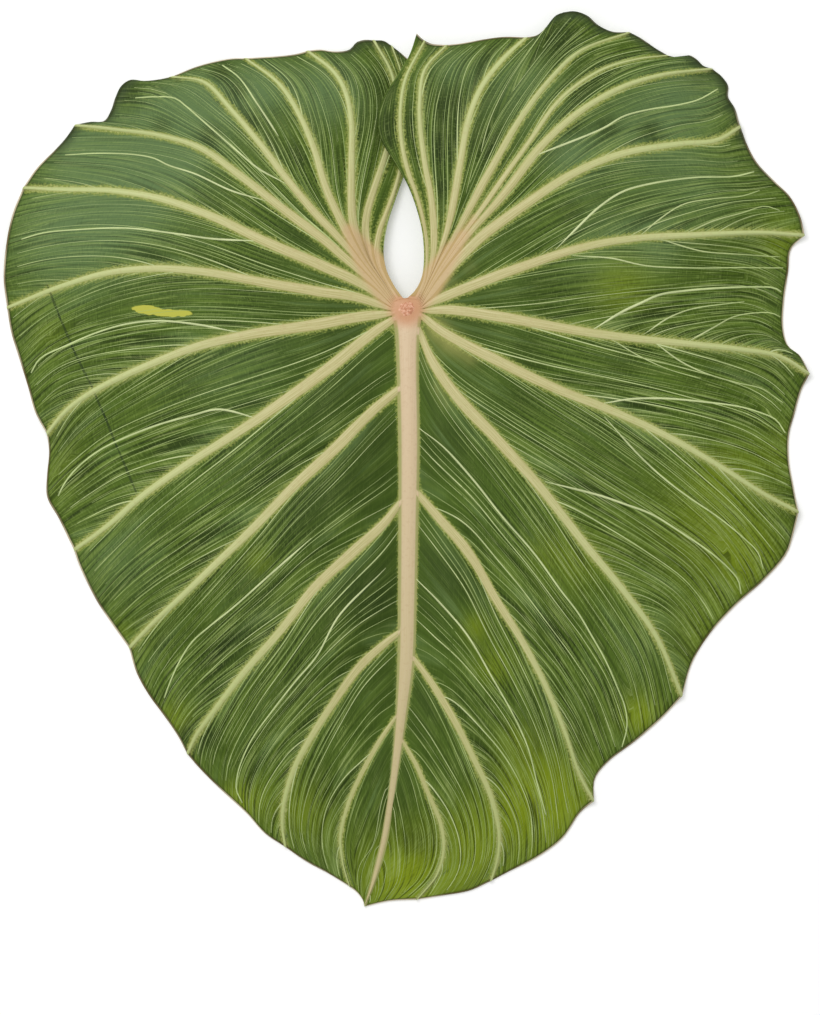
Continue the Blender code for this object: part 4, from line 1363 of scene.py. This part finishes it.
# %% Streaks and rungs
# Near the midrib and under the painted sheen they hardly show.
limits = {"Value": fact["out"], "From Max": 0.55, "To Min": 0.2}
grown = node(tree, "ShaderNodeMapRange", limits, interpolation_type="SMOOTHSTEP").outputs[0]
shown = node(tree, "ShaderNodeMath", {0: fact["painted_sheen"], 1: -0.55, 2: grown}, operation="MULTIPLY_ADD",
             use_clamp=True).outputs[0]
broad_streak = streaks(tree, fact["family_mm"], fact["along_mm"], *LANES, 3.0)
tint = coat(tree, tint, "#849B45", broad_streak, 0.5, 0.68, 0.42, shown)
tint = coat(tree, tint, "#1E2C0A", broad_streak, 0.5, 0.33, 0.75, shown)
thin_streak = streaks(tree, fact["family_mm"], fact["along_mm"], *THIN_VEINS)
tint = coat(tree, tint, "#A5B66C", thin_streak, 0.54, 0.68, 0.55, shown)
rungs = streaks(tree, fact["along_mm"], fact["family_mm"], *RUNGS, 1.0)
tint = coat(tree, tint, "#93A95A", rungs, 0.54, 0.68, 0.17, shown)
tint = coat(tree, tint, "#22310C", rungs, 0.46, 0.32, 0.22, shown)
print(len(tree.nodes), "nodes with the streaks and the rungs")

# %% [markdown]
# The cream of a rib runs out into the green in a ragged edge a millimetre or two deep, where hundreds
# of fine veins leave it: barbs along the veins, broken up by specks 0.9 mm across. On the left a row
# of short dark creases runs down the blade, and a yellow patch 4 mm wide has lost its green. The
# margin ends in a thin corky line.

# %% Cream along the ribs
feather = streaks(tree, fact["family_mm"], fact["along_mm"], *BARBS)
reach = node(tree, "ShaderNodeMath", {0: feather, 1: -2.4, 2: fact["rib_mm"]}, operation="MULTIPLY_ADD")
ragged = {0: blotches(tree, 0.9), 1: -4.0, 2: reach.outputs[0]}
reach = node(tree, "ShaderNodeMath", ragged, operation="MULTIPLY_ADD").outputs[0]
tint = coat(tree, tint, "#8F9A48", reach, -1.1, -2.3, 0.8)
tint = coat(tree, tint, "#B9BC78", reach, -2.2, -3.2, 0.8)
tint = coat(tree, tint, "#A3A45C", fact["paler"], 0, 1, 0.8)
tint = coat(tree, tint, "#C4A873", fact["trunk"], 0.2, 0.8)
print(len(tree.nodes), "nodes with the cream")

# %% Creases, the yellow patch and the margin
for begin, end in (((46, 278), (64, 324)), ((58, 310), (78, 356)), ((72, 344), (95, 390)),
                   ((90, 378), (110, 426)), ((103, 408), (122, 456)), ((117, 443), (141, 500))):
    tint = mark(tree, tint, "#22301A", begin, end, 0.6, 0.2, 0.6)
for begin, end, half_width in (((133, 309), (169, 314), 2.2), ((150, 314), (196, 315), 1.8)):
    tint = mark(tree, tint, "#BDBD4E", begin, end, half_width, 0.2)
# Painted shade where the tops of the lobes roll away from the light, darkest at the margin.
tint = coat(tree, tint, "#37452C", fact["margin_mm"], 7.0, 1.5, 0.75, fact["rolled_margin_shade"])
tint = coat(tree, tint, "#33381A", fact["margin_mm"], 1.9, 0.8, 0.6)
rim_colour = coat(tree, "#7A6A45", "#D5C7A8", blotches(tree, 30), 0.35, 0.55)
# Painted shade on the rim where it rolls away.
rim_colour = coat(tree, rim_colour, "#3F4A30", fact["rolled_margin_shade"], 0, 1)
tint = coat(tree, tint, rim_colour, fact["margin_mm"], 0.85, 0.45)
print(len(tree.nodes), "nodes in the leaf green so far")

# %% [markdown]
# The underside has more air between its cells and a thinner cuticle, so it is paler and greyer. The
# relief follows the streaks and the rungs, and is a fifth of a millimetre deep at most. It is left to
# the finish, because the veins that change the outline are already raised in the mesh.

# %% Underside and relief
tint = coat(tree, tint, "#93A468", fact["underside"], 0, 1, 0.6)
tree.links.new(tint, shader.inputs["Base Color"])
relief = node(tree, "ShaderNodeMath", {0: rungs, 1: 0.2, 2: broad_streak}, operation="MULTIPLY_ADD")
bump = node(tree, "ShaderNodeBump", {"Height": relief.outputs[0], "Distance": 0.0002, "Strength": 0.7})
tree.links.new(bump.outputs[0], shader.inputs["Normal"])
blade.data.materials.append(leaf_green)
print("the leaf green has", len(tree.nodes), "nodes")

# %% [markdown]
# ## The ribs' finish
#
# A rib is a bundle of stiff pale fibres under the same wax, thicker here, so it is smoother than the
# blade and shines a little more. Its cream colour has long faint streaks about half a millimetre
# wide from the fibres. It turns pink to orange toward the knob, tan on the midrib, and yellow-green
# along its edges and toward the margin.

# %% Cream rib
cream_rib, tree, shader, fact = finish(
    "waxy_rib_cuticle", ("lane_mm", "along_mm", "out", "midrib", "crest", "knob_mm", "trunk"),
    Roughness=0.42, IOR=1.42, Specular_IOR_Level=0.4,
)
fibre = streaks(tree, fact["lane_mm"], fact["along_mm"], 0.5, 18, 3.0)
tint = coat(tree, "#B9B274", "#D3CB95", fibre, 0.3, 0.7)
tint = coat(tree, tint, "#C3D08C", fact["out"], 0.25, 0.9, 0.85)
tint = coat(tree, tint, "#A9B56A", fact["knob_mm"], 130, 240, 0.5)
side_vein = node(tree, "ShaderNodeMath", {0: 1.0, 1: fact["midrib"]}, operation="SUBTRACT").outputs[0]
tint = coat(tree, tint, "#9DA251", fact["crest"], 0.45, 0.05, 0.8, side_vein)
midrib_tint = coat(tree, "#DCC29E", "#C8BB88", fact["along_mm"], 0, 260)
midrib_tint = coat(tree, midrib_tint, "#DECBAA", fibre, 0.3, 0.75, 0.25)
midrib_tint = coat(tree, midrib_tint, "#A0A45E", fact["crest"], 0.95, 0.45, 0.9)
tint = coat(tree, tint, midrib_tint, fact["midrib"], 0.0, 1.0)
tint = coat(tree, tint, "#D2B386", fact["trunk"], 0.2, 0.9, 0.85)
tint = coat(tree, tint, "#D29A73", fact["knob_mm"], 11, 4, 0.9)
tint = coat(tree, tint, "#A88058", blotches(tree, 1.5), 0.52, 0.7, 0.12)
tree.links.new(tint, shader.inputs["Base Color"])
bump = node(tree, "ShaderNodeBump", {"Height": fibre, "Distance": 0.0002, "Strength": 0.5})
tree.links.new(bump.outputs[0], shader.inputs["Normal"])
for piece in (ribs, stalk):
    piece.data.materials.append(cream_rib)
print("the rib's finish has", len(tree.nodes), "nodes")

# %% [markdown]
# ## The knob's finish
#
# Where the stalk joins, the skin has cracked and healed into callus: pink, corky bumps a millimetre
# or so wide, drier than the ribs, so a little less glossy. Lighter pink blotches about as wide as
# the bumps are partly the callus's own colour and partly painted highlight on their tops.

# %% Pink callus
pink_knob, tree, shader, fact = finish("healed_pink_callus", ("knob_mm",), Roughness=0.5, IOR=1.42)
# Lighter pink blotches as wide as the bumps: partly the callus's own colour, partly painted highlight.
tint = coat(tree, "#C98A67", "#EBB596", blotches(tree, 1.2), 0.4, 0.62)
tint = coat(tree, tint, "#D0A074", fact["knob_mm"], 3.2, 5.6)
tree.links.new(tint, shader.inputs["Base Color"])
bump = node(tree, "ShaderNodeBump", {"Height": blotches(tree, 0.6), "Distance": 0.0001, "Strength": 0.5})
tree.links.new(bump.outputs[0], shader.inputs["Normal"])
bumpy_knob.data.materials.append(pink_knob)
print("the callus has", len(tree.nodes), "nodes")

# %% [markdown]
# ## The fine veins' finish
#
# The fine veins are the same pale fibres under the leaf's waxy cuticle, between the blade and the
# ribs in gloss. The faint ones and the hairs sink into the green in places about 14 mm wide, and the
# bright ones stay cream almost to the margin.

# %% Fine veins
for name, root_colour, end_colour, sunk in (
    ("faint_fine_veins", "#B4C47F", "#ABC076", 0.35),
    ("bright_fine_veins", "#DBE4AC", "#CFDF9B", 0.25),
    ("hairs_beside_the_ribs", "#BCC182", "#8BA15A", 0.3),
):
    vein, tree, shader, fact = finish(
        "waxy_cuticle_of_" + name, ("out", "wide_mm"), Roughness=0.48, IOR=1.4, Specular_IOR_Level=0.3,
    )
    tint = coat(tree, root_colour, end_colour, fact["out"], 0, 1)
    if name.startswith("bright"):
        tint = coat(tree, tint, "#A9BC70", fact["wide_mm"], 1.2, 0.8, 0.35)
    tint = coat(tree, tint, "#5E7636", blotches(tree, 14), 0.65, 0.35, sunk)
    tree.links.new(tint, shader.inputs["Base Color"])
    bpy.data.objects[name].data.materials.append(vein)
    print(vein.name, "has", len(tree.nodes), "nodes")

# %% [markdown]
# ## Floor and light
#
# The leaf lies on plain pale paper in a bright room, with one broad soft light from the upper left.
# Paper that isn't coated scatters light evenly, so it has no gloss. It glows a little, which keeps it
# as pale near the leaf as it is far away.

# %% Paper floor
bpy.ops.mesh.primitive_plane_add(size=6)
floor = bpy.context.object
floor.name = "pale_floor"
paper, tree, shader, fact = finish("matt_white_paper", (), Roughness=0.9, Emission_Strength=0.25)
shader.inputs["Base Color"].default_value = colour("#F0F0F0")
shader.inputs["Emission Color"].default_value = (1, 1, 1, 1)
floor.data.materials.append(paper)
floor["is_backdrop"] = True
print("the floor is", floor.dimensions.x, "m wide")

# %% Soft light
def soft_light(name, place, target, size, power):
    """A round area light at a place in metres, turned toward a target."""
    data = bpy.data.lights.new(name, "AREA")
    data.shape = "DISK"
    data.size = size
    data.energy = power
    lamp = bpy.data.objects.new(name, data)
    lamp.location = place
    lamp.rotation_euler = (Vector(target) - Vector(place)).to_track_quat("-Z", "Y").to_euler()
    bpy.context.scene.collection.objects.link(lamp)
    return lamp


key = soft_light("soft_key", (-0.5, 0.6, 1.5), (0, 0, 0), 1.0, 12)
print("key light:", key.data.energy, "W over a disk", key.data.size, "m wide")

# %% A bright room
world = bpy.data.worlds.new("bright_room")
bpy.context.scene.world = world
world.use_nodes = True
room = world.node_tree.nodes["Background"].inputs
room["Color"].default_value = (1, 1, 1, 1)
room["Strength"].default_value = 0.6
bpy.context.scene.view_settings.view_transform = "Standard"
print("light of the room:", round(room["Strength"].default_value, 2))

# %% [markdown]
# ## The camera
#
# The picture was taken from straight above. A long lens, far away, keeps the raised middle of the
# leaf from looking nearer than its margin.

# %% Camera
VIEW_LENGTH = 0.454  # along the longer side of the picture, in metres
PICTURE_MIDDLE = (0.0015, -0.0214)  # where the middle of the picture lies, in metres
lens = bpy.data.cameras.new("straight_down")
lens.sensor_width = 36
lens.lens = 150
camera = bpy.data.objects.new("straight_down", lens)
camera.location = (*PICTURE_MIDDLE, VIEW_LENGTH * lens.lens / lens.sensor_width)
bpy.context.scene.collection.objects.link(camera)
bpy.context.scene.camera = camera
print("camera", round(camera.location.z, 2), "m above the leaf")

# %% [markdown]
# ## Sizes before and after
#
# The dressed leaf must fill the solid model's box and not leave it, so both sizes are kept.

# %% Sizes before and after
low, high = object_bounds()
sizes = {"solid": [list(CAD_LOW), list(CAD_HIGH)], "dressed": [list(low), list(high)]}
print("dressed:", [round(1000 * (h - l), 1) for l, h in zip(low, high)], "mm")
